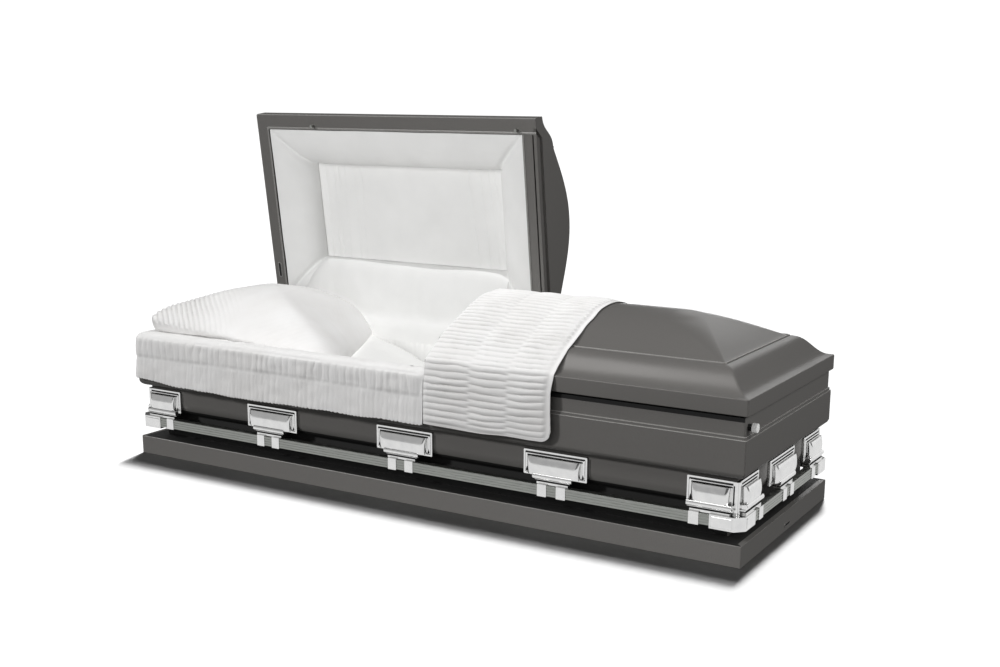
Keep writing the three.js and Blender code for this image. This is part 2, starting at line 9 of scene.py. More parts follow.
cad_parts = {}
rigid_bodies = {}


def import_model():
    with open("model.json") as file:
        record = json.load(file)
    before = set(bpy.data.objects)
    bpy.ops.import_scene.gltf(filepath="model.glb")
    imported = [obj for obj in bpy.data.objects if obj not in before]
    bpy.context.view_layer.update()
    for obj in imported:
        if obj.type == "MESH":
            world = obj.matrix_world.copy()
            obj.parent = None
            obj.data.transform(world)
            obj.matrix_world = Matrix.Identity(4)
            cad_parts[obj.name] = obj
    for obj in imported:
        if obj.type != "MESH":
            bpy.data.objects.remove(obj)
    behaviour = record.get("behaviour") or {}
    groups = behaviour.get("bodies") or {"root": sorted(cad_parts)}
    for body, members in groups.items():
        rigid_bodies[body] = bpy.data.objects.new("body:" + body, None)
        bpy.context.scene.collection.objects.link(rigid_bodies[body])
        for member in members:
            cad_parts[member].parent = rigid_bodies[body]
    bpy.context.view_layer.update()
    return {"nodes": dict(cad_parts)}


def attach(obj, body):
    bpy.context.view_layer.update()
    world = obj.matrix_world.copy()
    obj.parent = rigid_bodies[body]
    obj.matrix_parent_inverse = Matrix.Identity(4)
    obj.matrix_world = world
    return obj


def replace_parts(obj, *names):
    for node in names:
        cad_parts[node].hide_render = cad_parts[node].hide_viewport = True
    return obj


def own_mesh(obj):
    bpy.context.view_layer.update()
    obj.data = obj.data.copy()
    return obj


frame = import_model()

# Body and lids: sizes in metres, in the frame of the solids
HALF_LENGTH = 1.054
HALF_WIDTH = 0.351
SHEET = 0.0012
PLINTH_TOP = 0.0587
LEDGE_SHADE = 0.016
WALL_FOOT_SETBACK = 0.060
WALL_TOP_SETBACK = 0.028
WALL_TOP = 0.229
TURN_TOP = 0.180
TURN_BOTTOM = 0.140
BELT_BOTTOM = 0.248
BELT_TOP = 0.336
BAND_SETBACK = 0.007
PLINTH_CORNER = 0.0035
BODY_CORNER = 0.0045
LEDGE_TOP = 0.391
# Low edge of the band's top strip that is painted black along front and back, as a painted shadow under the
# lid rim
RIM_SHADOW_LOW = LEDGE_TOP - 0.012
LEDGE_INNER = 0.052
RIM_X = 1.0572
RIM_Y = 0.3542
RIM_BOTTOM = 0.3961
RIM_TOP = 0.4398
FLANGE = 0.052
RIDGE_HEIGHT = 0.0016
BEAD_SETBACK = 0.103
BEAD_HEIGHT = 0.502
DOME_SETBACK = 0.110
DOME_FOOT = 0.5035
DOME_TOP = 0.588
HIP_SOFTNESS = 0.5
HEAD_END = 0.0894
FOOT_END = 0.0924
RECESS_DEPTH = 0.010
RECESS_TOP = RIM_BOTTOM + 0.037
RECESS_END_LOW = RIM_Y - 0.032
RECESS_END_HIGH = RIM_Y - 0.066
HINGE_Y = 0.3595
HINGE_Z = 0.3955
OPEN_ANGLE = math.radians(82.5)

# Lugs, bars and small metal
LUG_WIDTH = 0.198
LUG_LOW = 0.148
LUG_HIGH = 0.220
LUG_FACE = 0.020
LUG_SPACING = 0.503
PANEL_WIDTH = 0.165
PANEL_TAPER = 0.0030
PANEL_EDGE = 0.0060
PANEL_SWELL = 0.0135
LIP_WIDTH = 0.122
NECK_WIDTH = 0.110
COLLAR_WIDTH = 0.029
COLLAR_GAP = 0.030
CORNER_PLATE = 0.143
TIP_LENGTH = 0.090
TIP_CHAMFER = 0.022
BAR_LOW = 0.099
BAR_HIGH = 0.129
BAR_DEPTH = 0.024
COLLAR_SKIN = 0.002
GAP = 0.0003
PIN_PLACES = ((-0.802, -0.3162), (0.021, -0.3162))
PIN_HOLE = 0.008
PIN_HOLE_IN_CLOTH = 0.0066
SLOT_MID = (0.006, 0.018)
SLOT_SIZE = (0.050, 0.013)
CATCH_MID = (-1.032, 0.213)
CATCH_SIZE = (0.058, 0.017)
GROOVE_FLOOR = LUG_FACE + 0.0042
DROP_RADIUS = 0.0040

# Soft parts: metres, with slants and pressures as plain numbers
BED_LINE = [(-0.987, 0.394), (-0.62, 0.384), (-0.40, 0.318), (-0.235, 0.238), (-0.20, 0.232), (0.987, 0.232)]
BED_END = 0.987
BED_HALF_Y = 0.276
BED_THICK = 0.060
LINING_SETBACK = 0.0575
LID_MID_X = (HEAD_END - RIM_X) / 2
LID_HALF_X = (HEAD_END + RIM_X) / 2
ROLL_START = FLANGE + 0.002
ROLL_END = ROLL_START + 0.128
LID_PANEL_LOW = 0.487
LID_TUCKS_LEFT = (0.030, 0.064, 0.082, 0.110, 0.156, 0.186)
LID_TUCKS_RIGHT = (0.028, 0.050, 0.086, 0.132)
APRON_HEAD = -0.900
APRON_FOOT = -0.044
APRON_THICK = 0.007
LID_PANEL_THICK = 0.0016
PILLOW_MID = (-0.735, -0.022)
PILLOW_HALF = (0.325, 0.305)
PILLOW_EDGE = 0.446
PILLOW_FOOT = 0.398
PILLOW_ON_SKIRT = 0.4082
PILLOW_BACK = 0.2730
PILLOW_SLANT = 0.42
PILLOW_VOXEL = 0.0069
PILLOW_PRESSURE = 2.5
PILLOW_REACH = 0.003
RUCHE_PITCH = 0.0150
RUCHE_HEIGHT = 0.0075
HEM = 0.248
SKIRT_ROW = 0.333
SKIRT_HANG = 0.330
SKIRT_INNER = (-0.993, -0.290)
SKIRT_END_Y = 0.296
HEM_LINE = ((-1.05, -0.87, -0.58, -0.30, 0.10), (0.260, 0.247, 0.244, 0.249, 0.250))
THROW_START = 0.0955
THROW_WIDTH = 0.412
THROW_LOW = 0.256
THROW_HEM = 0.0100
THROW_PITCH = 0.0188
THROW_SEAMS = (0.0, 0.150, 0.274, 0.386)
THROW_CORNER = 0.032
THROW_THICK = 0.0014

# Floor in metres, and strengths of the white world
FLOOR_HALF = 40.0
FLOOR_Z = -0.0005
WORLD_LIGHT = 0.1
WORLD_SEEN = 1.05

# Camera: angles in degrees, place in metres, and the picture's size, centre and focal length in pixels
CAMERA_ANGLES = (29.96, 12.54, 0.53)
CAMERA_PLACE = (2.111, -3.275, 1.145)
PICTURE = (1000, 667)
PICTURE_CENTRE = (527.3, 388.4)
FOCAL_LENGTH = 1276.5
SENSOR_MM = 36.0


# Smooth seeded noise
def noise_line(x, seed):
    table = np.random.default_rng(seed).random(4096) * 2 - 1
    cell = np.floor(x).astype(int)
    part = x - cell
    part = part * part * (3 - 2 * part)
    return table[cell % 4096] * (1 - part) + table[(cell + 1) % 4096] * part


def noise_plane(x, y, seed):
    table = np.random.default_rng(seed).random((256, 256)) * 2 - 1
    i, j = np.floor(x).astype(int), np.floor(y).astype(int)
    a, b = x - i, y - j
    a, b = a * a * (3 - 2 * a), b * b * (3 - 2 * b)
    low = table[i % 256, j % 256] * (1 - a) + table[(i + 1) % 256, j % 256] * a
    high = table[i % 256, (j + 1) % 256] * (1 - a) + table[(i + 1) % 256, (j + 1) % 256] * a
    return low * (1 - b) + high * b


def step(low, high, x):
    t = np.clip((x - low) / (high - low), 0, 1)
    return t * t * (3 - 2 * t)


# Sine or cosine values pushed out towards a square
def squared(values, power):
    return np.sign(values) * np.abs(values) ** power


# Rounded folds of cloth with a narrow crease between each two
def folds(x, power=0.7):
    return np.abs(np.cos(np.pi * x)) ** power


# Mesh helpers: a part is a pair of points and faces
def grid_part(points, close_rows=False, close_columns=False):
    rows, columns = points.shape[:2]
    i = np.arange(rows if close_rows else rows - 1)
    j = np.arange(columns if close_columns else columns - 1)
    i, j = np.meshgrid(i, j, indexing="ij")
    k, m = (i + 1) % rows, (j + 1) % columns
    corners = [i * columns + j, i * columns + m, k * columns + m, k * columns + j]
    faces = np.stack([c.ravel() for c in corners], axis=1)
    return points.reshape(-1, 3), [tuple(f) for f in faces.tolist()]


def loft(rings, closed=False):
    points, faces = grid_part(np.asarray(rings, float), closed, True)
    if not closed:
        size = len(rings[0])
        last = (len(rings) - 1) * size
        faces = faces + [tuple(range(size)), tuple(range(last, last + size))]
    return points, faces


def merged(parts):
    points, faces = [], []
    start = 0
    for part_points, part_faces in parts:
        part_points = np.asarray(part_points, float)
        points.append(part_points)
        faces.extend(tuple(k + start for k in face) for face in part_faces)
        start += len(part_points)
    return np.concatenate(points), faces


def mesh_of(name, part, outward=True):
    points, faces = part
    mesh = bpy.data.meshes.new(name)
    mesh.from_pydata(np.asarray(points).tolist(), [], faces)
    if outward:
        shape = bmesh.new()
        shape.from_mesh(mesh)
        bmesh.ops.recalc_face_normals(shape, faces=shape.faces)
        shape.to_mesh(mesh)
        shape.free()
    return mesh


def part_of(mesh):
    return np.array([v.co for v in mesh.vertices]), [tuple(p.vertices) for p in mesh.polygons]


def linked(name, data):
    made = bpy.data.objects.new(name, data)
    bpy.context.scene.collection.objects.link(made)
    return made


# An object of the dressed part, on the body it rides on
def piece(name, part, material, body, sharp=35, outward=True):
    mesh = mesh_of(name, part, outward)
    mesh.shade_smooth()
    mesh.set_sharp_from_angle(angle=math.radians(sharp))
    mesh.materials.append(material)
    made = linked(name, mesh)
    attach(made, body)
    return made


# Depth of each point in a crease, 0 to 1, stored for the painted shade that darkens the cloth in its creases
def mark_painted_crease_shade(made, depth):
    marks = made.data.attributes.new("crease", "FLOAT", "POINT")
    marks.data.foreach_set("value", np.clip(depth, 0, 1).ravel())


def weighted(made):
    modifier = made.modifiers.new("face_normals", "WEIGHTED_NORMAL")
    modifier.keep_sharp = True
    return made


def apply_modifiers(made):
    view = bpy.context.evaluated_depsgraph_get()
    view.update()
    mesh = bpy.data.meshes.new_from_object(made.evaluated_get(view))
    made.modifiers.clear()
    made.data = mesh


def bevelled(part, width, segments=2, angle=30):
    mesh = mesh_of("bevel", part, False)
    shape = bmesh.new()
    shape.from_mesh(mesh)
    bpy.data.meshes.remove(mesh)
    bmesh.ops.recalc_face_normals(shape, faces=shape.faces)
    limit = math.radians(angle)
    edges = [e for e in shape.edges if len(e.link_faces) == 2 and e.calc_face_angle(0) > limit]
    bmesh.ops.bevel(
        shape, geom=edges, offset=width, segments=segments, affect="EDGES", profile=0.6,
        clamp_overlap=True,
    )
    shape.verts.ensure_lookup_table()
    points = np.array([v.co for v in shape.verts])
    shape.verts.index_update()
    faces = [tuple(v.index for v in f.verts) for f in shape.faces]
    shape.free()
    return points, faces


# A part with others cut out of it
def cut(part, tools):
    blank = linked("blank", mesh_of("blank", part))
    tool = linked("tool", mesh_of("tool", merged(tools)))
    modifier = blank.modifiers.new("cut", "BOOLEAN")
    modifier.operation = "DIFFERENCE"
    modifier.solver = "EXACT"
    modifier.object = tool
    apply_modifiers(blank)
    made = part_of(blank.data)
    bpy.data.objects.remove(tool)
    bpy.data.objects.remove(blank)
    return made


def upright_rod(x, y, radius, z0, z1):
    return loft([[(p, q, z) for p, q in arc_points((x, y), radius, 0, 345, 23)] for z in (z0, z1)])


def box_part(x0, x1, y0, y1, z0, z1):
    rings = [[(x0, y0, z), (x1, y0, z), (x1, y1, z), (x0, y1, z)] for z in (z0, z1)]
    return loft(rings)


# A closed profile of setback and height, run along a side from u0 to u1
def prism(profile, u0, u1):
    return loft([[(u, s, z) for s, z in profile] for u in (u0, u1)])


SIDES = {
    "front": (0.0, 0.0, -HALF_WIDTH, HALF_LENGTH),
    "foot": (math.pi / 2, HALF_LENGTH, 0.0, HALF_WIDTH),
    "back": (math.pi, 0.0, HALF_WIDTH, HALF_LENGTH),
    "head": (-math.pi / 2, -HALF_LENGTH, 0.0, HALF_WIDTH),
}


def placed(part, side):
    turn, x, y, _ = SIDES[side]
    points = np.asarray(part[0], float).copy()
    u, s = points[:, 0].copy(), points[:, 1].copy()
    points[:, 0] = u * math.cos(turn) - s * math.sin(turn) + x
    points[:, 1] = u * math.sin(turn) + s * math.cos(turn) + y
    return points, part[1]


def opened(part):
    points = np.asarray(part[0], float).copy()
    y, z = points[:, 1] - HINGE_Y, points[:, 2] - HINGE_Z
    points[:, 1] = HINGE_Y + y * math.cos(OPEN_ANGLE) + z * math.sin(OPEN_ANGLE)
    points[:, 2] = HINGE_Z - y * math.sin(OPEN_ANGLE) + z * math.cos(OPEN_ANGLE)
    return points, part[1]


def unit(rows):
    return rows / np.linalg.norm(rows, axis=1)[:, None]


# A line of setback and height set off to its left
def offset_line(line, distance):
    line = np.asarray(line, float)
    steps = unit(np.diff(line, axis=0))
    normals = np.stack([-steps[:, 1], steps[:, 0]], axis=1)
    before = np.vstack([normals[:1], normals])
    after = np.vstack([normals, normals[-1:]])
    middle = unit(before + after)
    return line + middle * (distance / (middle * before).sum(1))[:, None]


def arc_points(centre, radius, start, end, steps):
    angles = np.radians(np.linspace(start, end, steps + 1))
    return [(centre[0] + radius * math.cos(a), centre[1] + radius * math.sin(a)) for a in angles]


# Rounded rectangle in plan at one height, with the same points for every setback
def plan_loop(half_x, half_y, radius, z, steps=5):
    loop = []
    for sign_x, sign_y, start in ((1, -1, -90), (1, 1, 0), (-1, 1, 90), (-1, -1, 180)):
        centre = (sign_x * (half_x - radius), sign_y * (half_y - radius))
        loop += [(x, y, z) for x, y in arc_points(centre, radius, start, start + 90, steps)]
    return loop


def ring_sweep(profile, half_x, half_y, radius, closed=True):
    return loft([plan_loop(half_x - s, half_y - s, radius, z) for s, z in profile], closed)


# Materials: a Principled shader each, with procedural nodes before it
class Finish:
    def __init__(self, name):
        self.material = bpy.data.materials.new(name)
        self.material.use_nodes = True
        self.tree = self.material.node_tree
        self.shader = self.tree.nodes["Principled BSDF"]

    # Sockets are linked, and plain values are set
    def fill(self, node, inputs):
        for name, value in inputs.items():
            if isinstance(value, bpy.types.NodeSocket):
                self.tree.links.new(value, node.inputs[name])
            else:
                node.inputs[name].default_value = value

    def node(self, kind, **inputs):
        made = self.tree.nodes.new("ShaderNode" + kind)
        self.fill(made, {name.replace("_", " "): value for name, value in inputs.items()})
        return made

    def noise(self, scale, detail, stretch=(1, 1, 1)):
        place = self.node("TexCoord").outputs["Object"]
        mapping = self.node("Mapping", Scale=stretch, Vector=place).outputs["Vector"]
        return self.node("TexNoise", Scale=scale, Detail=detail, Vector=mapping).outputs["Fac"]

    def ramp(self, source, low, high, start=0.3, end=0.7):
        made = self.node("ValToRGB", Fac=source)
        for k, (place, colour) in enumerate(((start, low), (end, high))):
            made.color_ramp.elements[k].position = place
            made.color_ramp.elements[k].color = (*colour, 1)
        return made.outputs["Color"]

    def spread(self, source, low, high):
        made = self.node("MapRange", From_Min=0.3, From_Max=0.7, To_Min=low, To_Max=high, Value=source)
        return made.outputs["Result"]

    def bump(self, source, strength, distance, **under):
        made = self.node("Bump", Strength=strength, Distance=distance, Height=source, **under)
        return made.outputs["Normal"]


def paint_material():
    made = Finish("gunmetal_paint")
    colour = made.ramp(made.noise(1400, 1), (0.145, 0.140, 0.133), (0.188, 0.181, 0.173))
    made.fill(made.shader, {
        "Base Color": colour,
        "Roughness": made.spread(made.noise(6, 3), 0.33, 0.38),
        "Metallic": 0.2,
        "Specular IOR Level": 0.5,
        "Normal": made.bump(made.noise(260, 2), 0.03, 0.0004),
    })
    return made.material


def metal_material(name, low, high, roughness, stretch, scale, strength):
    made = Finish(name)
    grain = made.noise(scale, 3, stretch)
    made.fill(made.shader, {
        "Base Color": made.ramp(grain, low, high),
        "Roughness": made.spread(grain, *roughness),
        "Metallic": 1.0,
        "Normal": made.bump(grain, strength, 0.0002),
    })
    return made.material


def cloth_material(name, low, high, weave, strength, sheen):
    made = Finish(name)
    # Painted shade: the stored crease depth darkens the base colour in the creases
    crease = made.node("Attribute")
    crease.attribute_name = "crease"
    shaded = made.node("Mix")
    shaded.data_type = "RGBA"
    shaded.blend_type = "MULTIPLY"
    cloud = made.ramp(made.noise(9, 3), low, high)
    tint = made.ramp(crease.outputs["Fac"], (1, 1, 1), (0.60, 0.59, 0.58), 0.0, 1.0)
    made.fill(shaded, {"Factor": 1.0, "A": cloud, "B": tint})
    warp = made.bump(made.noise(weave, 2, (1, 1, 0.25)), strength, 0.0004)
    weft = made.bump(made.noise(weave, 2, (0.25, 0.25, 1)), strength, 0.0004, Normal=warp)
    made.fill(made.shader, {
        "Base Color": shaded.outputs["Result"],
        "Roughness": 0.82,
        "Sheen Weight": sheen,
        "Sheen Roughness": 0.4,
        "Specular IOR Level": 0.25,
        "Normal": weft,
    })
    return made.material


def plain_material(name, low, high, roughness):
    made = Finish(name)
    grain = made.noise(400, 2)
    colour = made.ramp(grain, low, high)
    made.fill(made.shader, {"Base Color": colour, "Roughness": made.spread(grain, *roughness)})
    return made.material


def floor_material():
    made = Finish("white_floor")
    colour = made.ramp(made.noise(30, 2), (0.37, 0.37, 0.37), (0.39, 0.39, 0.39))
    made.fill(made.shader, {"Base Color": colour, "Roughness": 0.9, "Specular IOR Level": 0.0})
    return made.material


PAINT = paint_material()
CHROME = metal_material(
    "chrome_plate", (0.80, 0.80, 0.80), (0.88, 0.88, 0.87), (0.13, 0.18), (1, 1, 1), 40, 0.01
)
BRUSHED = metal_material(
    "brushed_bar", (0.30, 0.31, 0.29), (0.40, 0.41, 0.39), (0.34, 0.42), (0.04, 0.04, 1), 900, 0.05
)
CREPE = cloth_material("white_crepe", (0.83, 0.82, 0.81), (0.88, 0.875, 0.87), 1500, 0.35, 0.2)
SATIN = cloth_material("white_lining", (0.84, 0.84, 0.83), (0.88, 0.88, 0.87), 1900, 0.2, 0.15)
# Black used as painted shade: the plinth ledge, the foot of the body's wall and the sunk middle of the plinth
# slot
SHADE = plain_material("ledge_black", (0.006, 0.006, 0.006), (0.010, 0.010, 0.009), (0.6, 0.7))
# Darker metal as painted shade in the castings' recesses
PAINTED_SHADE_METAL = metal_material(
    "recess_plate", (0.05, 0.05, 0.05), (0.11, 0.11, 0.11), (0.3, 0.4), (1, 1, 1), 300, 0.05
)
# Lighter paint as painted highlight on beads, flange ridges, the belt-top steps, the head lid's lower rim
# edge and the catch's rim
PAINTED_HIGHLIGHT = plain_material("bead_paint", (0.23, 0.225, 0.215), (0.27, 0.265, 0.255), (0.24, 0.30))
NICKEL = plain_material("satin_nickel", (0.50, 0.50, 0.49), (0.58, 0.58, 0.57), (0.30, 0.40))
# Black rubber of the tube neck, also used as painted shadow under the lid rim and painted shade in the lid
# catch's sunk middle
RUBBER_AND_PAINTED_SHADE = plain_material("black_rubber", (0.004, 0.004, 0.004), (0.008, 0.008, 0.008), (0.80, 0.90))


# Raised oval rim with a sunk middle, as four loops of height and two offsets
def oval(size):
    length, width = size
    loops = []
    for inset, raised in ((0.0, 0.0001), (0.0008, 0.0013), (0.0030, 0.0013), (0.0038, 0.0002)):
        radius = width / 2 - inset
        half = (length - width) / 2
        ends = ((half, -90), (-half, 90))
        for u, start in ends:
            loops += [(raised, p, q) for p, q in arc_points((u, 0), radius, start, start + 180, 10)]
    return loops


# Base pan: plinth wall with an eased top edge, ledge, slot in the foot end, and floor inside
def base_pan():
    profile = [(0.0008, 0.0), (0.0, 0.0008)]
    profile += arc_points((0.0018, PLINTH_TOP - 0.0018), 0.0018, 180, 90, 4)
    inner = WALL_FOOT_SETBACK + 0.012
    profile += [
        (LEDGE_SHADE, PLINTH_TOP),
        (inner, PLINTH_TOP),
        (inner, PLINTH_TOP - SHEET),
        (SHEET + 0.003, PLINTH_TOP - SHEET),
        (SHEET, PLINTH_TOP - SHEET - 0.003),
        (SHEET, SHEET),
    ]
    pan = ring_sweep(profile, HALF_LENGTH, HALF_WIDTH, PLINTH_CORNER, False)
    slot = [(HALF_LENGTH + raised, SLOT_MID[0] + u, SLOT_MID[1] + v) for raised, u, v in oval(SLOT_SIZE)]
    rings = np.array(slot).reshape(4, -1, 3)
    made = piece("base_pan_skin", merged([pan, loft(rings)]), PAINT, "casket")
    # Painted shade: the ledge along the front and back, the inner part of the end ledges and the slot's sunk
    # middle are painted black
    made.data.materials.append(SHADE)
    for face in made.data.polygons:
        x, y, z = face.center
        along_side = HALF_WIDTH - abs(y) < HALF_LENGTH - abs(x)
        on_ledge = face.normal.z > 0.9 and z > PLINTH_TOP / 2
        in_slot = x > HALF_LENGTH and len(face.vertices) > 8
        if on_ledge and (along_side or HALF_LENGTH - abs(x) > LEDGE_SHADE) or in_slot:
            face.material_index = 1
    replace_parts(weighted(made), "base_pan")


def wall_turn():
    line = [(WALL_FOOT_SETBACK, PLINTH_TOP + GAP)]
    for a in np.linspace(math.pi / 2, 0, 11):
        setback = WALL_TOP_SETBACK + (WALL_FOOT_SETBACK - WALL_TOP_SETBACK) * (1 - math.cos(a))
        line.append((setback, TURN_TOP - (TURN_TOP - TURN_BOTTOM) * math.sin(a)))
    return line + [(WALL_TOP_SETBACK, WALL_TOP)]


# Body: wall that turns under, belt with a stepped top, set back band whose top strip along front and back is
# painted black as a painted shadow under the lid rim, and ledge
def body_shell():
    line = wall_turn()
    for a in np.linspace(0, math.pi / 2, 9):
        along, rise = math.sin(a), 1 - math.cos(a)
        line.append((0.022 * (1 - along), WALL_TOP + 0.001 + (BELT_BOTTOM - WALL_TOP - 0.001) * rise))
    line += [(0.0, BELT_TOP - 0.0030), (0.0008, BELT_TOP - 0.0020), (0.0034, BELT_TOP - 0.0016)]
    line += [(0.0034, BELT_TOP + 0.0052), (0.0042, BELT_TOP + 0.0060)]
    line += [(BAND_SETBACK - 0.0006, BELT_TOP + 0.0064), (BAND_SETBACK, BELT_TOP + 0.0072)]
    line += [(BAND_SETBACK, RIM_SHADOW_LOW), (BAND_SETBACK, LEDGE_TOP - 0.003)]
    line += arc_points((BAND_SETBACK + 0.003, LEDGE_TOP - 0.003), 0.003, 180, 90, 4)[1:]
    line += [(LEDGE_INNER - 0.002, LEDGE_TOP), (LEDGE_INNER, LEDGE_TOP - 0.002)]
    line.append((LEDGE_INNER, LEDGE_TOP - 0.02))
    inner = offset_line(line, -SHEET)
    profile = [tuple(p) for p in line] + [tuple(p) for p in inner[::-1]]
    holes = [upright_rod(x, y, PIN_HOLE, LEDGE_TOP - 0.010, LEDGE_TOP + 0.010) for x, y in PIN_PLACES]
    shell = cut(ring_sweep(profile, HALF_LENGTH, HALF_WIDTH, BODY_CORNER), holes)
    made = piece("body_shell_skin", shell, PAINT, "casket")
    for finish in (RUBBER_AND_PAINTED_SHADE, PAINTED_HIGHLIGHT, SHADE):
        made.data.materials.append(finish)
    # Painted shadow in black under the lid rim on the band's top strip and the ledge, along front and back;
    # painted highlight in lighter paint on the belt-top steps; painted shade in black on the lower wall of
    # front and back
    for face in made.data.polygons:
        x, y, z = face.center
        inset_x, inset_y = HALF_LENGTH - abs(x), HALF_WIDTH - abs(y)
        inset = min(inset_x, inset_y)
        low_step = -0.0030 < z - BELT_TOP < -0.0016 and inset < 0.003
        high_step = 0.0052 < z - BELT_TOP < 0.0064 and inset < 0.0062
        if z > RIM_SHADOW_LOW and inset < LEDGE_INNER - 0.001 and inset_y < inset_x:
            face.material_index = 1
        elif low_step or high_step:
            face.material_index = 2
        elif z < TURN_BOTTOM + 0.016 and inset_y < inset_x:
            face.material_index = 3
    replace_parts(weighted(made), "body_shell")


# Lids: flange, rim, ogee, bead and dome as setback and height
def lid_line():
    ridge_low = RIM_BOTTOM - RIDGE_HEIGHT
    line = [(FLANGE, RIM_BOTTOM), (FLANGE - 0.002, ridge_low), (FLANGE - 0.006, ridge_low)]
    line += [(FLANGE - 0.008, RIM_BOTTOM), (0.0030, RIM_BOTTOM)]
    line += [(0.0008, RIM_BOTTOM + 0.0008), (0.0, RIM_BOTTOM + 0.0030)]
    line += [(0.0, RIM_TOP - 0.003), (0.0004, RIM_TOP - 0.0012), (0.0015, RIM_TOP - 0.0002)]
    for t in np.linspace(0.04, 1, 22):
        rise = t - math.sin(2 * math.pi * t) / (2.6 * math.pi)
        line.append((0.002 + (BEAD_SETBACK - 0.002) * t, RIM_TOP + (BEAD_HEIGHT - RIM_TOP) * rise))
    line += arc_points((BEAD_SETBACK + 0.003, BEAD_HEIGHT + 0.0008), 0.0028, 165, 15, 6)
    ridge = RIM_Y - 0.003
    for t in np.linspace(0, 1, 26):
        rise = math.sin(math.pi / 2 * t) ** 1.04
        line.append((DOME_SETBACK + (ridge - DOME_SETBACK) * t, DOME_FOOT + (DOME_TOP - DOME_FOOT) * rise))
    return line


# Half of the lid's plan: from the split round the outer end and back, hips softer towards the top
def half_loop(setback, z, split, outer_sign, steps=7):
    x, y = RIM_X - setback, RIM_Y - setback
    radius = min(0.006 + HIP_SOFTNESS * max(0, setback - DOME_SETBACK), y * 0.9)
    loop = [(split, -y, z)]
    loop += [(outer_sign * p, q, z) for p, q in arc_points((x - radius, -y + radius), radius, -90, 0, steps)]
    loop += [(outer_sign * p, q, z) for p, q in arc_points((x - radius, y - radius), radius, 0, 90, steps)]
    loop.append((split, y, z))
    return loop


def end_plate(outline, x0, x1):
    return loft([[(x, y, z) for y, z in outline] for x in (x0, x1)])


def split_end(split, inward):
    def flange(near, far, half, low, high):
        x0, x1 = sorted((split + inward * near, split + inward * far))
        return box_part(x0, x1, -half, half, low, high)

    section = [(s, z) for s, z in offset_line(lid_line()[6:], -SHEET - 0.0001)]
    upper = [(-(RIM_Y - s), z) for s, z in section] + [(RIM_Y - s, z) for s, z in section[::-1]]
    mouth = [
        (RECESS_END_LOW, RIM_BOTTOM + SHEET),
        (RECESS_END_HIGH, RECESS_TOP),
        (-RECESS_END_HIGH, RECESS_TOP),
        (-RECESS_END_LOW, RIM_BOTTOM + SHEET),
    ]
    outline = [(y, max(z, RIM_BOTTOM)) for y, z in upper] + mouth
    front = split + inward * SHEET
    deep = split + inward * RECESS_DEPTH
    parts = [end_plate(outline, split, front)]
    for (y0, z0), (y1, z1) in zip(mouth[:-1], mouth[1:]):
        rise = np.array([y1 - y0, z1 - z0])
        side = np.array([-rise[1], rise[0]]) / np.linalg.norm(rise) * -SHEET
        quad = [(y0, z0), (y1, z1), (y1 + side[0], z1 + side[1]), (y0 + side[0], z0 + side[1])]
        parts.append(end_plate(quad, front, deep))
    parts.append(end_plate(mouth, deep, deep + inward * SHEET))
    wide = RIM_Y - FLANGE
    parts.append(flange(0, RECESS_DEPTH, RECESS_END_LOW, RIM_BOTTOM, RIM_BOTTOM + SHEET))
    parts.append(flange(RECESS_DEPTH + 0.005, FLANGE, wide, RIM_BOTTOM, RIM_BOTTOM + SHEET))
    ridge = flange(FLANGE - 0.007, FLANGE - 0.001, wide, RIM_BOTTOM - RIDGE_HEIGHT, RIM_BOTTOM)
    return parts + [bevelled(ridge, 0.0012)]


def lid_shell(split, outer_sign):
    rows = np.array([half_loop(s, z, split, outer_sign) for s, z in lid_line()])
    points, faces = grid_part(rows)
    count = rows.shape[1]
    last = (len(rows) - 1) * count
    faces.append(tuple(range(last, last + count)))
    mesh = mesh_of("skin", (points, faces), False)
    shape = bmesh.new()
    shape.from_mesh(mesh)
    bmesh.ops.recalc_face_normals(shape, faces=shape.faces)
    top = max(shape.faces, key=lambda f: f.calc_center_median().z)
    if top.normal.z < 0:
        bmesh.ops.reverse_faces(shape, faces=shape.faces)
    shape.to_mesh(mesh)
    shape.free()
    skin = linked("skin", mesh)
    thick = skin.modifiers.new("sheet", "SOLIDIFY")
    thick.thickness = SHEET
    thick.offset = -1
    thick.use_even_offset = True
    apply_modifiers(skin)
    sheet = part_of(skin.data)
    bpy.data.objects.remove(skin)
    return merged([sheet] + split_end(split, outer_sign))


# Oval catch under the head lid's end flange
def catch_part():
    points = [(CATCH_MID[0] + v, CATCH_MID[1] + u, RIM_BOTTOM - raised) for raised, u, v in oval(CATCH_SIZE)]
    return loft(np.array(points).reshape(4, -1, 3)[::-1])


def lids():
    closed = merged([lid_shell(HEAD_END, -1), catch_part()])
    head = piece("head_lid_skin", opened(closed), PAINT, "head_lid", 30, False)
    foot = piece("foot_lid_skin", lid_shell(FOOT_END, 1), PAINT, "foot_lid", 30, False)
    for made in (head, foot):
        made.data.materials.append(PAINTED_HIGHLIGHT)
        made.data.materials.append(RUBBER_AND_PAINTED_SHADE)
    # Painted highlight in lighter paint on both lids' bead and flange ridges and on the head lid's lower rim
    # edge; the catch gets a painted highlight on its rim and painted shade in black in its sunk middle
    for face in foot.data.polygons:
        x, y, z = face.center
        inset = min(RIM_X - abs(x), RIM_Y - abs(y))
        on_bead = BEAD_SETBACK + 0.0005 < inset < BEAD_SETBACK + 0.0045 and z > BEAD_HEIGHT + 0.0022
        if on_bead or z < RIM_BOTTOM - 0.0004:
            face.material_index = 1
            head.data.polygons[face.index].material_index = 1
        elif inset < 0.0031 and z < RIM_BOTTOM + 0.0031:
            head.data.polygons[face.index].material_index = 1
    catch_faces = list(head.data.polygons)[len(foot.data.polygons):]
    for face in catch_faces:
        face.material_index = 2 if len(face.vertices) > 8 else 1
    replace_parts(weighted(head), "head_lid_shell")
    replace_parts(weighted(foot), "foot_lid_shell")


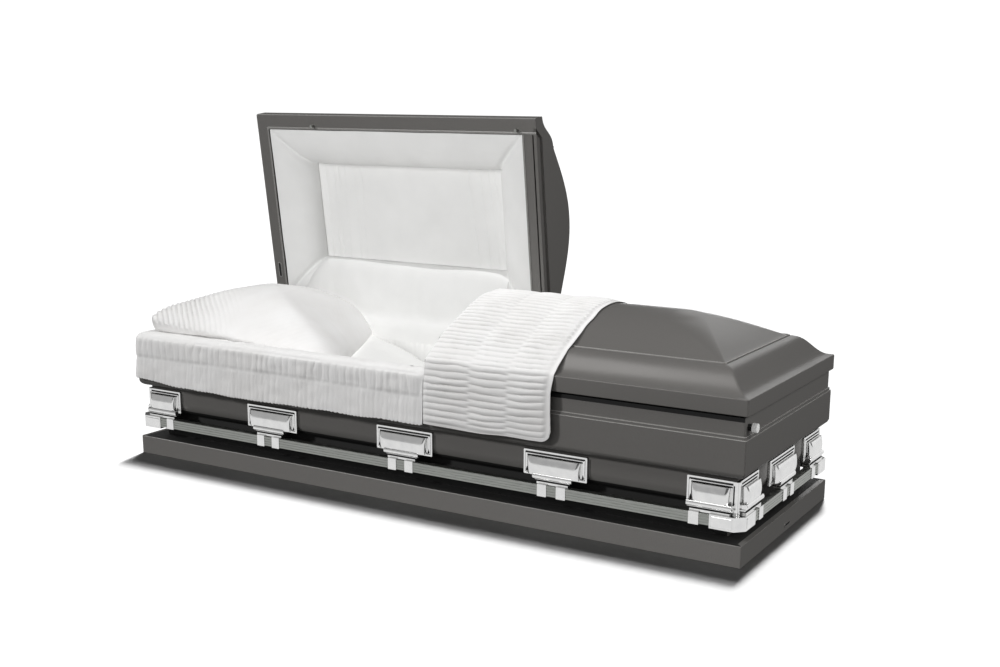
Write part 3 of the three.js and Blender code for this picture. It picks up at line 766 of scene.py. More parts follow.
# Carrying hardware: plate with terraces, in a side's own frame of u, setback and z
def round_rect(u0, u1, z0, z1, radius, setback, steps=4):
    loop = []
    corners = ((u1, z0, 1, -1, -90), (u1, z1, 1, 1, 0), (u0, z1, -1, 1, 90), (u0, z0, -1, -1, 180))
    for u, z, sign_u, sign_z, start in corners:
        centre = (u - sign_u * radius, z - sign_z * radius)
        loop += [(p, setback, q) for p, q in arc_points(centre, radius, start, start + 90, steps)]
    return loop


def drop_hole(u, z):
    angles = np.radians(range(150, 391, 20))
    outline = [(u + DROP_RADIUS * math.cos(a), z + DROP_RADIUS * math.sin(a)) for a in angles]
    outline.append((u, z + 0.0110))
    return loft([[(p, s, q) for p, q in outline] for s in (LUG_FACE - 0.004, GROOVE_FLOOR)])


def plate_part(u0, u1, ends=(True, True)):
    terraces = [
        (0.0, 0.0, 0.0271),
        (0.0, 0.0, LUG_FACE + 0.0014),
        (0.0005, 0.0005, LUG_FACE + 0.0004),
        (0.0014, 0.0014, LUG_FACE),
        (0.0058, 0.0056, LUG_FACE),
        (0.0060, 0.0062, LUG_FACE + 0.0006),
        (0.0062, 0.0066, GROOVE_FLOOR),
        (0.0066, 0.0100, GROOVE_FLOOR),
        (0.0068, 0.0104, LUG_FACE - 0.0004),
        (0.0072, 0.0110, LUG_FACE - 0.0010),
        (0.0128, 0.0136, LUG_FACE - 0.0010),
        (0.0130, 0.0142, LUG_FACE - 0.0002),
        (0.0132, 0.0146, GROOVE_FLOOR),
        (0.0136, 0.0180, GROOVE_FLOOR),
        (0.0138, 0.0184, LUG_FACE + 0.0012),
    ]
    rings = []
    for side, rise, setback in terraces:
        radius = max(0.0008, 0.0028 - side * 0.1)
        low = LUG_LOW + min(rise, 0.004 + rise * 0.35)
        rings.append(round_rect(u0 + side, u1 - side, low, LUG_HIGH - rise, radius, setback))
    places = [u for u, wanted in zip((u0 + 0.0122, u1 - 0.0122), ends) if wanted]
    holes = [drop_hole(u, LUG_LOW + 0.0125) for u in places]
    return cut(loft(rings), holes)


# Cushion of the plate: swells from its edges to the middle, most in its lower half
def panel_part(u0, u1):
    low, high = LUG_LOW + 0.006, LUG_HIGH - 0.0165
    middle, half = (u0 + u1) / 2, (u1 - u0) / 2
    across = np.sin(np.linspace(-math.pi / 2, math.pi / 2, 21))
    rings = []
    for t in np.linspace(0, 1, 14):
        swell = PANEL_SWELL * math.sin(math.pi * (0.20 + 0.56 * t)) * (1 - np.abs(across) ** 12) ** 0.5
        reach = half - PANEL_TAPER * t
        z = high - (high - low) * t
        front = [(middle + reach * a, LUG_FACE - PANEL_EDGE - s, z) for a, s in zip(across, swell)]
        rings.append(front + [(middle + reach, LUG_FACE + 0.003, z), (middle - reach, LUG_FACE + 0.003, z)])
    return loft(rings)


def lip_profile():
    profile = arc_points((LUG_FACE - 0.0105, LUG_LOW + 0.0035), 0.0095, 130, 330, 12)
    return profile + [(LUG_FACE + 0.004, LUG_LOW + rise) for rise in (0.003, 0.010)]


def neck_parts(middle, width):
    half = width / 2
    bands = [
        (1.0, LUG_LOW - 0.0065, LUG_LOW - 0.0020, 0.0060),
        (0.93, LUG_LOW - 0.0105, LUG_LOW - 0.0065, 0.0095),
        (0.88, BAR_HIGH + 0.0010, LUG_LOW - 0.0105, 0.0050),
    ]
    parts = []
    for share, low, high, front in bands:
        profile = [(front, low), (LUG_FACE + 0.008, low), (LUG_FACE + 0.008, high), (front, high)]
        parts.append(bevelled(prism(profile, middle - half * share, middle + half * share), 0.0008))
    return parts


def frame_loop(u, low, high, front, back):
    return [(u, front, low), (u, back, low), (u, back, high), (u, front, high)]


def collar_part(u0, u1):
    skin = COLLAR_SKIN
    out = (BAR_LOW - skin, BAR_HIGH + skin, -skin, BAR_DEPTH + skin)
    small = (BAR_LOW - skin + 0.0008, BAR_HIGH + skin - 0.0008, -skin + 0.0008, BAR_DEPTH + skin - 0.0008)
    hole = (BAR_LOW - GAP, BAR_HIGH + GAP, -GAP, BAR_DEPTH + GAP)
    rings = [
        frame_loop(u0, *hole),
        frame_loop(u0, *small),
        frame_loop(u0 + 0.0008, *out),
        frame_loop(u1 - 0.0008, *out),
        frame_loop(u1, *small),
        frame_loop(u1, *hole),
    ]
    return loft(rings, True)


def lug_parts():
    inner = COLLAR_GAP / 2
    parts = [plate_part(-LUG_WIDTH / 2, LUG_WIDTH / 2)]
    parts.append(panel_part(-PANEL_WIDTH / 2, PANEL_WIDTH / 2))
    parts.append(bevelled(prism(lip_profile(), -LIP_WIDTH / 2, LIP_WIDTH / 2), 0.0022, 3, 50))
    parts += neck_parts(0.0, NECK_WIDTH)
    parts.append(collar_part(-inner - COLLAR_WIDTH, -inner))
    parts.append(collar_part(inner, inner + COLLAR_WIDTH))
    return merged(parts)


# Recessed faces of a casting take a darker metal as painted shade: groove floors, holes and the neck
def shade_recesses(made):
    made.data.materials.append(PAINTED_SHADE_METAL)
    for face in made.data.polygons:
        x, y, z = face.center
        setback = min(HALF_LENGTH - abs(x), HALF_WIDTH - abs(y))
        depth = setback - GROOVE_FLOOR
        in_groove = z > LUG_HIGH - 0.020 and -0.0022 < depth < 0.0005
        in_hole = LUG_LOW + 0.007 < z < LUG_LOW + 0.024 and -0.0030 < depth < 0.0005
        in_neck = LUG_LOW - 0.0110 < z < LUG_LOW - 0.0062 and setback > 0.004
        if in_groove or in_hole or in_neck:
            face.material_index = 1


def lugs():
    base = lug_parts()
    places = []
    for side in ("front", "back"):
        places += [(side, (k - 2) * LUG_SPACING, f"lug_{side}_{k}") for k in (1, 2, 3)]
    places += [("foot", 0.0, "lug_foot"), ("head", 0.0, "lug_head")]
    for side, along, node in places:
        moved = (np.asarray(base[0]) + np.array([along, 0, 0]), base[1])
        made = piece(node + "_cast", placed(moved, side), CHROME, "casket", 30)
        shade_recesses(made)
        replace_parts(weighted(made), node)


# Corner castings: a plate on each side, a post between and a chamfered tip below
def corner_arm(side, end):
    half = SIDES[side][3]
    far = LUG_FACE + CORNER_PLATE

    def span(near, farther):
        return sorted((end * (half - near), end * (half - farther)))

    parts = [plate_part(*span(LUG_FACE + 0.004, far), (end > 0, end < 0))]
    parts.append(panel_part(*span(LUG_FACE + 0.021, far - 0.0165)))
    parts.append(bevelled(prism(lip_profile(), *span(LUG_FACE + 0.014, far - 0.006)), 0.0022, 3, 50))
    low, high = span(LUG_FACE + 0.010, far - 0.008)
    parts += neck_parts((low + high) / 2, high - low)
    parts.append(collar_part(*span(TIP_LENGTH + COLLAR_WIDTH, TIP_LENGTH + 2 * COLLAR_WIDTH)))
    return [placed(part, side) for part in parts]


def corner_prism(plan, levels, sign_x, sign_y):
    rings = [[(sign_x * (HALF_LENGTH - a), sign_y * (HALF_WIDTH - b), z) for a, b in plan] for z in levels]
    return loft(rings)


def corner_tip(sign_x, sign_y):
    out, inner = COLLAR_SKIN, BAR_DEPTH + COLLAR_SKIN
    plan = [
        (TIP_LENGTH, -out),
        (TIP_CHAMFER, -out),
        (-out, TIP_CHAMFER),
        (-out, TIP_LENGTH),
        (inner, TIP_LENGTH),
        (inner, inner),
        (TIP_LENGTH, inner),
    ]
    levels = (BAR_LOW - 0.006, BAR_HIGH + COLLAR_SKIN + 0.001)
    return bevelled(corner_prism(plan, levels, sign_x, sign_y), 0.0014, 2, 20)


# Raised pads on the two faces of a corner tip
def tip_pads(first, second):
    pads = []
    for side, end in ((first, 1), (second, -1)):
        half = SIDES[side][3]
        u0, u1 = sorted((end * (half - TIP_CHAMFER - 0.005), end * (half - TIP_LENGTH + 0.004)))
        insets = ((0.0, 0.0), (0.0, -0.0010), (0.0006, -0.0016))
        rings = [
            round_rect(u0 + i, u1 - i, BAR_LOW - 0.001 + i, BAR_HIGH - 0.003 - i, 0.002, -COLLAR_SKIN + out)
            for i, out in insets
        ]
        pads.append(placed(loft(rings), side))
    return pads


def corner_post(sign_x, sign_y):
    near, far, arm = LUG_FACE - 0.001, LUG_FACE + 0.010, 0.006
    plan = [(near + arm, near), (far + arm, near), (far + arm, far), (far, far), (far, far + arm)]
    plan += [(near, far + arm), (near, near + arm)]
    plan += [(near + a, near + b) for a, b in ((0.0018, 0.0042), (0.0045, 0.0045), (0.0042, 0.0018))]
    levels = (BAR_HIGH + 0.001, LUG_HIGH - 0.001)
    return bevelled(corner_prism(plan, levels, sign_x, sign_y), 0.0008, 2, 20)


def corner_lugs():
    corners = (
        ("front_foot", 1, -1, "front", "foot"),
        ("back_foot", 1, 1, "foot", "back"),
        ("back_head", -1, 1, "back", "head"),
        ("front_head", -1, -1, "head", "front"),
    )
    for name, sign_x, sign_y, first, second in corners:
        parts = corner_arm(first, 1) + corner_arm(second, -1)
        parts += [corner_tip(sign_x, sign_y), corner_post(sign_x, sign_y)] + tip_pads(first, second)
        made = piece(f"corner_cast_{name}", merged(parts), CHROME, "casket", 30)
        shade_recesses(made)
        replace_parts(weighted(made), f"corner_lug_{name}")


# Bars with eased edges and three fine grooves along the outer face
def bars():
    ease = 0.0016
    near, far, low, high = ease, BAR_DEPTH - ease, BAR_LOW + ease, BAR_HIGH - ease
    profile = []
    for centre, start in (((near, low), 180), ((far, low), 270), ((far, high), 0), ((near, high), 90)):
        profile += arc_points(centre, ease, start, start + 90, 3)
    middle = (BAR_LOW + BAR_HIGH) / 2
    for line in (0.0075, 0.0, -0.0075):
        z = middle + line
        profile += [(0.0, z + 0.0016), (0.0011, z + 0.0009), (0.0011, z - 0.0009), (0.0, z - 0.0016)]
    for side, (_, _, _, half) in SIDES.items():
        reach = half - TIP_LENGTH - GAP
        made = piece(f"bar_{side}_rail", placed(prism(profile, -reach, reach), side), BRUSHED, "casket", 30)
        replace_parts(weighted(made), f"bar_{side}")


# Soft parts
def surface_normals(points, close_rows=False, close_columns=False):
    def along(axis, closed):
        if closed:
            return np.roll(points, -1, axis) - np.roll(points, 1, axis)
        return np.gradient(points, axis=axis)

    normals = np.cross(along(0, close_rows), along(1, close_columns))
    return normals / np.maximum(np.linalg.norm(normals, axis=2, keepdims=True), 1e-12)


# Cloth of a given thickness: the sheet, its back and the edge between them
def sheet_part(points, thickness):
    rows, columns = points.shape[:2]
    back = points - surface_normals(points) * thickness
    front_points, front_faces = grid_part(points)
    back_points, back_faces = grid_part(back)
    count = rows * columns
    faces = front_faces + [tuple(k + count for k in face[::-1]) for face in back_faces]
    index = np.arange(count).reshape(rows, columns)
    edge = np.concatenate([index[0, :], index[1:, -1], index[-1, -2::-1], index[-2:0:-1, 0]])
    for a, b in zip(edge, np.roll(edge, -1)):
        faces.append((int(b), int(a), int(a) + count, int(b) + count))
    return np.concatenate([front_points, back_points]), faces


# Way from the start of a polyline to each of its points
def path_length(line):
    return np.concatenate([[0], np.cumsum(np.linalg.norm(np.diff(line, axis=0), axis=1))])


# Evenly spaced points along a polyline, eased by averaging neighbours
def resample(line, count, easing=0):
    line = np.asarray(line, float)
    length = path_length(line)
    dense = np.linspace(0, length[-1], count)
    made = np.stack([np.interp(dense, length, line[:, k]) for k in range(line.shape[1])], axis=1)
    for _ in range(easing):
        made[1:-1] = (made[:-2] + 2 * made[1:-1] + made[2:]) / 4
    return made, length[-1]


# Bed: padded, raised under the pillow
def bed_height(x):
    line, _ = resample(BED_LINE, 240, 30)
    return np.interp(x, line[:, 0], line[:, 1])


def mattress():
    stations = np.linspace(-BED_END, BED_END, 230)
    angles = np.linspace(0, 2 * math.pi, 88, endpoint=False)
    x, a = np.meshgrid(stations, angles, indexing="ij")
    side = squared(np.cos(a), 0.35)
    rise = squared(np.sin(a), 0.55)
    end = np.clip((BED_END - np.abs(x)) / 0.03, 0, 1) ** 0.5
    y = BED_HALF_Y * side * (0.96 + 0.04 * end)
    wrinkle = 0.004 * noise_plane(x / 0.09 + y / 0.2, y / 0.06, 11)
    wrinkle += 0.002 * noise_plane(x / 0.03, y / 0.05, 12)
    tuck = 0.003 * folds(x / 0.11 + 0.1 * noise_line(y / 0.07, 3), 0.5) * step(0.6, 1.0, np.abs(side))
    z = bed_height(x) - BED_THICK / 2 + BED_THICK / 2 * rise * (0.55 + 0.45 * end)
    z = z + np.where(rise > 0.3, (wrinkle + tuck - 0.003) * rise, 0)
    made = piece("bed", loft(np.stack([x, y, z], axis=2)), SATIN, "casket", 80)
    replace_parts(made, "mattress")


# Lining of the walls, gathered along its top and bottom
def body_lining():
    top, bottom = LEDGE_TOP - 0.0025, 0.150
    half_x, half_y = HALF_LENGTH - LINING_SETBACK, HALF_WIDTH - LINING_SETBACK
    corner = [(half_x, -half_y), (half_x, half_y), (-half_x, half_y), (-half_x, -half_y), (half_x, -half_y)]
    path, length = resample(corner, 901)
    path = path[:-1]
    on_wall = np.abs(np.abs(path) - (half_x, half_y)) < 1e-6
    middle = np.where(on_wall, -path / (half_x, half_y), 0)
    along = np.linspace(0, length, len(path), endpoint=False)[:, None]
    heights = np.linspace(top, bottom, 22)[None, :]
    share = (top - heights) / (top - bottom)
    gather = folds(along / 0.021 + 0.35 * noise_line(along / 0.06, 21), 0.6)
    fine = noise_plane(along / 0.008, heights / 0.05, 22)
    puff = 0.0022 + 0.0036 * gather * (0.35 + 0.65 * np.abs(2 * share - 1)) + 0.0007 * fine
    puff = puff * np.clip(np.minimum(share, 1 - share) / 0.04, 0.25, 1)
    sides = [path[:, k : k + 1] + middle[:, k : k + 1] * (0.0005 + puff) for k in (0, 1)]
    inner = np.stack(sides + [np.broadcast_to(heights, puff.shape)], axis=2)
    backs = [np.stack([path[:, 0], path[:, 1], np.full(len(path), z)], axis=1) for z in (bottom, top)]
    rings = np.concatenate([inner, np.stack(backs, axis=1)], axis=1)
    made = piece("wall_lining", grid_part(rings, True, True), SATIN, "casket", 80)
    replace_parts(made, "body_lining")


# Padded roll round the inside of the head lid, with a tuck on each mitre
def lid_roll():
    lower = []
    for a in np.linspace(0, math.pi / 2, 26):
        setback = ROLL_START + (ROLL_END - ROLL_START) * math.sin(a)
        rise = (LID_PANEL_LOW - 0.006 - RIM_BOTTOM - 0.003) * (1 - math.cos(a))
        lower.append((setback, RIM_BOTTOM + 0.003 + rise))
    upper = [(ROLL_END, LID_PANEL_LOW + 0.008), (FLANGE + 0.05, LID_PANEL_LOW + 0.004)]
    upper += [(ROLL_START, RIM_BOTTOM + 0.045), (ROLL_START, RIM_BOTTOM + 0.02)]
    count = 110
    spread = np.linspace(0, 1, count, endpoint=False)
    spread = 0.5 - 0.5 * np.cos(np.pi * spread)
    loops = []
    for s, z in lower + upper:
        x, y = LID_HALF_X - s, RIM_Y - s
        corners = [(-x, -y), (x, -y), (x, y), (-x, y), (-x, -y)]
        loop = []
        for (x0, y0), (x1, y1) in zip(corners[:-1], corners[1:]):
            loop += [(LID_MID_X + x0 + (x1 - x0) * t, y0 + (y1 - y0) * t, z) for t in spread]
        loops.append(loop)
    points = np.array(loops)
    normals = surface_normals(points, True, True)
    x, y = points[..., 0] - LID_MID_X, points[..., 1]
    mitre = np.abs((LID_HALF_X - np.abs(x)) - (RIM_Y - np.abs(y))) / math.sqrt(2)
    depth = np.linspace(0, 1, len(lower))[:, None]
    shape = np.zeros(points.shape[:2])
    rows = len(lower)
    along = np.where(np.abs(y) * LID_HALF_X > np.abs(x) * RIM_Y, x, y)[:rows]
    pleat = folds(along / 0.034 + 0.5 * noise_line(along / 0.05, 31), 0.5) - 0.6
    soft = noise_plane(x[:rows] / 0.12, y[:rows] / 0.09 + depth * 2, 32)
    shape[:rows] = -0.006 * np.exp(-((mitre[:rows] / 0.010) ** 2)) * np.sin(np.pi * depth**0.8) ** 0.5
    away = np.clip(mitre[:rows] / 0.05, 0, 1)
    shape[:rows] += 0.0012 * soft + 0.0012 * pleat * step(0.55, 1.0, depth) * away
    facing = -1 if normals[4, 30, 2] > 0 else 1
    points = points + normals * (facing * shape)[..., None]
    made = piece("lid_padding", opened(grid_part(points, True, True)), SATIN, "head_lid", 60)
    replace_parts(made, "lid_roll")


# Panel in the lid: stretched cloth with a few upright tucks near each end
def lid_panel():
    half_x, half_y = LID_HALF_X - ROLL_END - 0.001, RIM_Y - ROLL_END - 0.001
    x = np.linspace(-half_x, half_x, 330)
    y = np.linspace(-half_y, half_y, 70)
    x, y = np.meshgrid(x, y, indexing="ij")
    left = [-half_x + t for t in LID_TUCKS_LEFT]
    right = [half_x - t for t in LID_TUCKS_RIGHT]
    drop = 0.0012 * noise_plane(x / 0.16, y / 0.12, 41)
    for k, place in enumerate(left + right):
        lean = 0.012 * (y / half_y) * (1 if place > 0 else -0.4)
        line = place + 0.003 * noise_line(y / 0.08 + 7 * k, 42) + lean
        fade = 0.45 + 0.55 * step(-0.2, 0.9, np.abs(y) / half_y)
        away = x - line
        depth = 0.0042 * np.exp(-np.clip(away, 0, None) / 0.005) * (away > 0)
        drop += fade * depth * (0.7 + 0.3 * noise_line(y / 0.05 + k, 43))
    points = np.stack([LID_MID_X + x, y, LID_PANEL_LOW + 0.002 - drop], axis=2)
    made = piece("lid_panel_cloth", opened(sheet_part(points[::-1], LID_PANEL_THICK)), SATIN, "head_lid", 70)
    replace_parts(made, "lid_panel")


# Apron: soft flap that stands from the back ledge against the lid's padding
def apron():
    front = [(0.2775, 0.342), (0.2775, 0.388), (0.284, 0.400), (0.297, 0.406), (0.308, 0.432), (0.317, 0.482)]
    front += [(0.323, 0.530), (0.326, 0.566), (0.331, 0.586), (0.338, 0.591)]
    line, _ = resample(front, 64, 4)
    x = np.linspace(APRON_HEAD, APRON_FOOT, 260)
    t = np.linspace(0, 1, len(line))
    across, up = np.meshgrid(x, t, indexing="ij")
    y = np.broadcast_to(line[:, 0], across.shape).copy()
    z = np.broadcast_to(line[:, 1], across.shape).copy()
    ends = np.minimum(across - APRON_HEAD, APRON_FOOT - across)
    swell = 0.010 * np.sin(np.pi * np.clip(up * 1.5 - 0.5, 0, 1)) * np.clip(ends / 0.08, 0, 1) ** 0.5
    fold = 0.0035 * noise_plane(across / 0.11 + up * 1.4, up * 3.0, 51)
    fold += 0.0012 * noise_plane(across / 0.03, up * 2.2, 52)
    fold *= np.sin(np.pi * np.clip(up * 1.45 - 0.40, 0, 1))
    slope = 0.42 + 0.58 * np.sin(np.pi / 2 * np.clip((across - APRON_HEAD) / 0.120, 0, 1))
    z = np.where(z > LEDGE_TOP + 0.02, LEDGE_TOP + 0.02 + (z - LEDGE_TOP - 0.02) * slope, z)
    top = 0.006 * noise_line(across / 0.17, 53) * up**3
    top -= 0.016 * (1 - np.clip(ends / 0.05, 0, 1)) ** 2 * up**2
    points = np.stack([across, y - swell - fold, z + top], axis=2)
    made = piece("apron_flap", sheet_part(points[::-1], APRON_THICK), SATIN, "casket", 70)
    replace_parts(made, "apron")
    return made


# Pillow: sides pulled in between the corners, blown up, then gathered across the corners
def pillow_form():
    rows, columns = 30, 180
    top = np.linspace(0, 1, rows) ** 0.5
    reach = np.concatenate([top[1:-1], top[::-1]])[:, None]
    upper = (np.arange(len(reach)) >= rows - 2)[:, None]
    b = np.linspace(0, 2 * np.pi, columns, endpoint=False)[None, :]
    u = squared(np.cos(b), 0.22)
    v = squared(np.sin(b), 0.22)
    reach = np.maximum(reach, 0.02)
    pull = 0.05
    slant = 1 - PILLOW_SLANT * v * step(0.0, 0.95, u * reach)
    x = PILLOW_MID[0] + PILLOW_HALF[0] * u * reach * (1 - pull * (1 - v**2)) * slant
    inside_skirt = np.where(v < 0, 1 - 0.15 * step(-0.55, 0.55, u * reach), 1)
    y = PILLOW_MID[1] + PILLOW_HALF[1] * v * reach * (1 - pull * (1 - u**2)) * inside_skirt
    slope = 0.098 * np.maximum(0, u * reach) ** 1.5
    edge = PILLOW_EDGE - slope - 0.010 * np.maximum(0, -u * reach) ** 2
    edge = edge - 0.030 * step(-0.85, -0.2, u * reach) * step(0.35, 1.0, -v * reach)
    roll = (1 - reach**10) ** 0.5
    above = edge + 0.028 * roll + 0.070 * (1 - reach**1.7)
    below = edge - np.maximum(0, edge - PILLOW_FOOT + slope) * (1 - reach**30) ** 0.5
    return loft(np.stack([x, y, np.where(upper, above, below)], axis=2))


# Even mesh blown up a little by air pressure in a cloth run, each point kept within reach of its start
def inflate(made, voxel, pressure, reach):
    remesh = made.modifiers.new("even", "REMESH")
    remesh.mode = "VOXEL"
    remesh.voxel_size = voxel
    apply_modifiers(made)
    start = np.array([v.co for v in made.data.vertices])
    cloth = made.modifiers.new("cloth", "CLOTH")
    cloth.settings.quality = 4
    cloth.settings.tension_stiffness = 12
    cloth.settings.compression_stiffness = 12
    cloth.settings.bending_stiffness = 0.4
    cloth.settings.use_pressure = True
    cloth.settings.uniform_pressure_force = pressure
    cloth.settings.effector_weights.gravity = 0
    for number in range(1, 21):
        bpy.context.scene.frame_set(number)
    apply_modifiers(made)
    bpy.context.scene.frame_set(1)
    moved = np.array([v.co for v in made.data.vertices]) - start
    far = np.linalg.norm(moved, axis=1, keepdims=True)
    moved *= np.minimum(1, reach / np.maximum(far, 1e-9))
    made.data.vertices.foreach_set("co", (start + moved).ravel())


def pillow():
    made = piece("head_pillow", pillow_form(), CREPE, "casket", 80)
    inflate(made, PILLOW_VOXEL, PILLOW_PRESSURE, PILLOW_REACH)
    finer = made.modifiers.new("finer", "SUBSURF")
    finer.levels = finer.render_levels = 1
    apply_modifiers(made)
    mesh = made.data
    count = len(mesh.vertices)
    points, normals = np.empty(count * 3), np.empty(count * 3)
    mesh.vertices.foreach_get("co", points)
    mesh.vertex_normals.foreach_get("vector", normals)
    points, normals = points.reshape(-1, 3), normals.reshape(-1, 3)
    x, y = points[:, 0], points[:, 1]
    wander = 0.35 * noise_plane(x / 0.08, y / 0.08, 61)
    ruche, crease = np.zeros(count), np.zeros(count)
    corners = ((1, 1, RUCHE_HEIGHT), (1, -1, 0.0035), (-1, 1, 0.0004), (-1, -1, 0.0004))
    for sign_x, sign_y, height in corners:
        along = sign_x * (x - PILLOW_MID[0]) + PILLOW_HALF[0]
        across = sign_y * (y - PILLOW_MID[1]) + PILLOW_HALF[1]
        fade = 1 - step(0.14, 0.38, np.hypot(along, across))
        wave = folds((0.62 * along + 0.78 * across) / RUCHE_PITCH + wander, 0.85)
        ruche += height * fade * (wave - 0.6)
        crease += height / RUCHE_HEIGHT * fade * (1 - wave) ** 1.5
    soft = 0.004 * noise_plane(x / 0.12, y / 0.10, 63)
    points = points + normals * ((ruche + soft) * step(-0.3, 0.3, normals[:, 2]))[:, None]
    over_skirt = (points[:, 0] < SKIRT_INNER[0]) | (points[:, 1] < SKIRT_INNER[1])
    support = np.where(over_skirt, PILLOW_ON_SKIRT, bed_height(points[:, 0]) + 0.006)
    points[:, 2] = np.maximum(points[:, 2], support)
    points[:, 1] = np.minimum(points[:, 1], PILLOW_BACK)
    mesh.vertices.foreach_set("co", points.ravel())
    mesh.shade_smooth()
    # Painted shade in the ruche's creases, on faces that face up
    mark_painted_crease_shade(made, 0.7 * crease * step(-0.2, 0.3, normals[:, 2]))
    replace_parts(made, "pillow")
    return made


# Skirt: laid over the ledge along the front and round the head end, gathered on a stitched row
def skirt_path(setback, counts, radius=0.020):
    x0, x1, y0, y1 = HEAD_END - 0.001, -HALF_LENGTH + setback, -HALF_WIDTH + setback, SKIRT_END_Y
    r = max(radius - setback, 0.002)
    front = np.stack([np.linspace(x0, x1 + r, counts[0]), np.full(counts[0], y0)], axis=1)
    bend = np.array(arc_points((x1 + r, y0 + r), r, -90, -180, counts[1] + 1))[1:-1]
    end = np.stack([np.full(counts[2], x1), np.linspace(y0 + r, y1, counts[2])], axis=1)
    return np.concatenate([front, bend, end])


def skirt():
    outline = [(0.056, 0.3925), (0.0558, 0.402), (0.051, 0.4065), (0.030, 0.4075), (0.014, 0.4070)]
    outline += [(0.002, 0.4030), (-0.0050, 0.3950), (-0.0080, 0.383), (-0.0092, 0.362), (-0.0096, 0.335)]
    outline += [(-0.0106, 0.315), (-0.0122, 0.290), (-0.0138, 0.266), (-0.0146, HEM)]
    line, _ = resample(outline, 76, 2)
    under = [(-0.0112, HEM), (-0.0075, 0.30), (-0.0060, 0.375), (-0.0040, 0.388)]
    under += [(0.002, 0.3925), (0.030, 0.3925)]
    rows = np.concatenate([line, np.array(under)])
    counts = (470, 22, 250)
    points = np.array([[(*p, z) for p in skirt_path(s, counts)] for s, z in rows])
    middle = skirt_path(-0.012, counts)
    along = path_length(middle)[None, :]
    z = rows[: len(line), 1][:, None]
    v = np.linspace(0, 1, len(line))[:, None]
    normals = surface_normals(points)[: len(line)]
    if normals[60, 100, 1] > 0:
        normals = -normals
    row = SKIRT_ROW + 0.004 * noise_line(along / 0.25, 71)

    def gathers(pitch, sway, sway_pitch, stray, cell, seed, power):
        phase = along / pitch + sway * noise_line(along / sway_pitch, seed)
        return folds(phase + stray * noise_plane(along / cell[0], z / cell[1], seed + 1), power)

    wide = gathers(0.029, 0.45, 0.07, 0.2, (0.03, 0.03), 72, 0.6)
    fine = gathers(0.0105, 0.5, 0.03, 0.15, (0.02, 0.02), 74, 0.7)
    lower = gathers(0.0190, 0.5, 0.04, 0.12, (0.02, 0.03), 76, 0.7)
    front = v > 0.35
    tier_up = step(row - 0.006, row + 0.010, z) * (1 - step(0.385, 0.406, z)) * front
    tier_low = (1 - step(row - 0.012, row + 0.004, z)) * front
    on_top = step(0.398, 0.406, z)
    mix = 0.5 + 0.5 * noise_line(along / 0.045, 78)
    height = tier_up * (0.0028 * wide * (0.5 + 0.5 * mix) + 0.0006 * fine)
    height += tier_low * (0.0009 * lower * (0.4 + 0.6 * mix) + 0.0014 * wide * mix)
    height += 0.0012 * noise_plane(along / 0.05, v * 9, 79) * (front | (on_top > 0))
    height += on_top * 0.0010 * noise_plane(along / 0.012, v * 10, 80)
    points[: len(line)] += normals * height[..., None]
    under_pillow = points[..., 0] < PILLOW_MID[0] + (1 + PILLOW_SLANT) * PILLOW_HALF[0] + 0.03
    pressed = np.minimum(points[..., 2], PILLOW_ON_SKIRT - 0.0004)
    points[..., 2] = np.where(under_pillow, pressed, points[..., 2])
    hem = np.interp(middle[:, 0], *HEM_LINE)
    scallop = 0.0030 * folds(along[0] / 0.0135 + 0.5 * noise_line(along[0] / 0.04, 76), 0.8)
    scallop += 0.0025 * noise_line(along[0] / 0.12, 81)
    hem = hem - scallop + 0.0015
    hang = points[..., 2] < SKIRT_HANG
    scaled = SKIRT_HANG - (SKIRT_HANG - points[..., 2]) / (SKIRT_HANG - HEM) * (SKIRT_HANG - hem)[None, :]
    points[..., 2] = np.where(hang, scaled, points[..., 2])
    low, high = LEDGE_TOP - 0.010, LEDGE_TOP + 0.050
    holes = [upright_rod(*place, PIN_HOLE_IN_CLOTH, low, high) for place in PIN_PLACES]
    made = piece("skirt_cloth", cut(loft(points.transpose(1, 0, 2)), holes), CREPE, "casket", 75)
    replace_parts(made, "skirt")
    return made


# Throw: shirred cloth over the foot lid, from behind the ridge down over the front
def taut_line():
    line = [(s, z) for s, z in lid_line()[8:]]
    line += [(2 * RIM_Y - s, z) for s, z in line[::-1] if s > 0.19]
    hull = []
    for p in line:
        while len(hull) > 1:
            (x0, z0), (x1, z1) = hull[-2], hull[-1]
            if (x1 - x0) * (p[1] - z0) - (z1 - z0) * (p[0] - x0) < 0:
                break
            hull.pop()
        hull.append(p)
    return hull


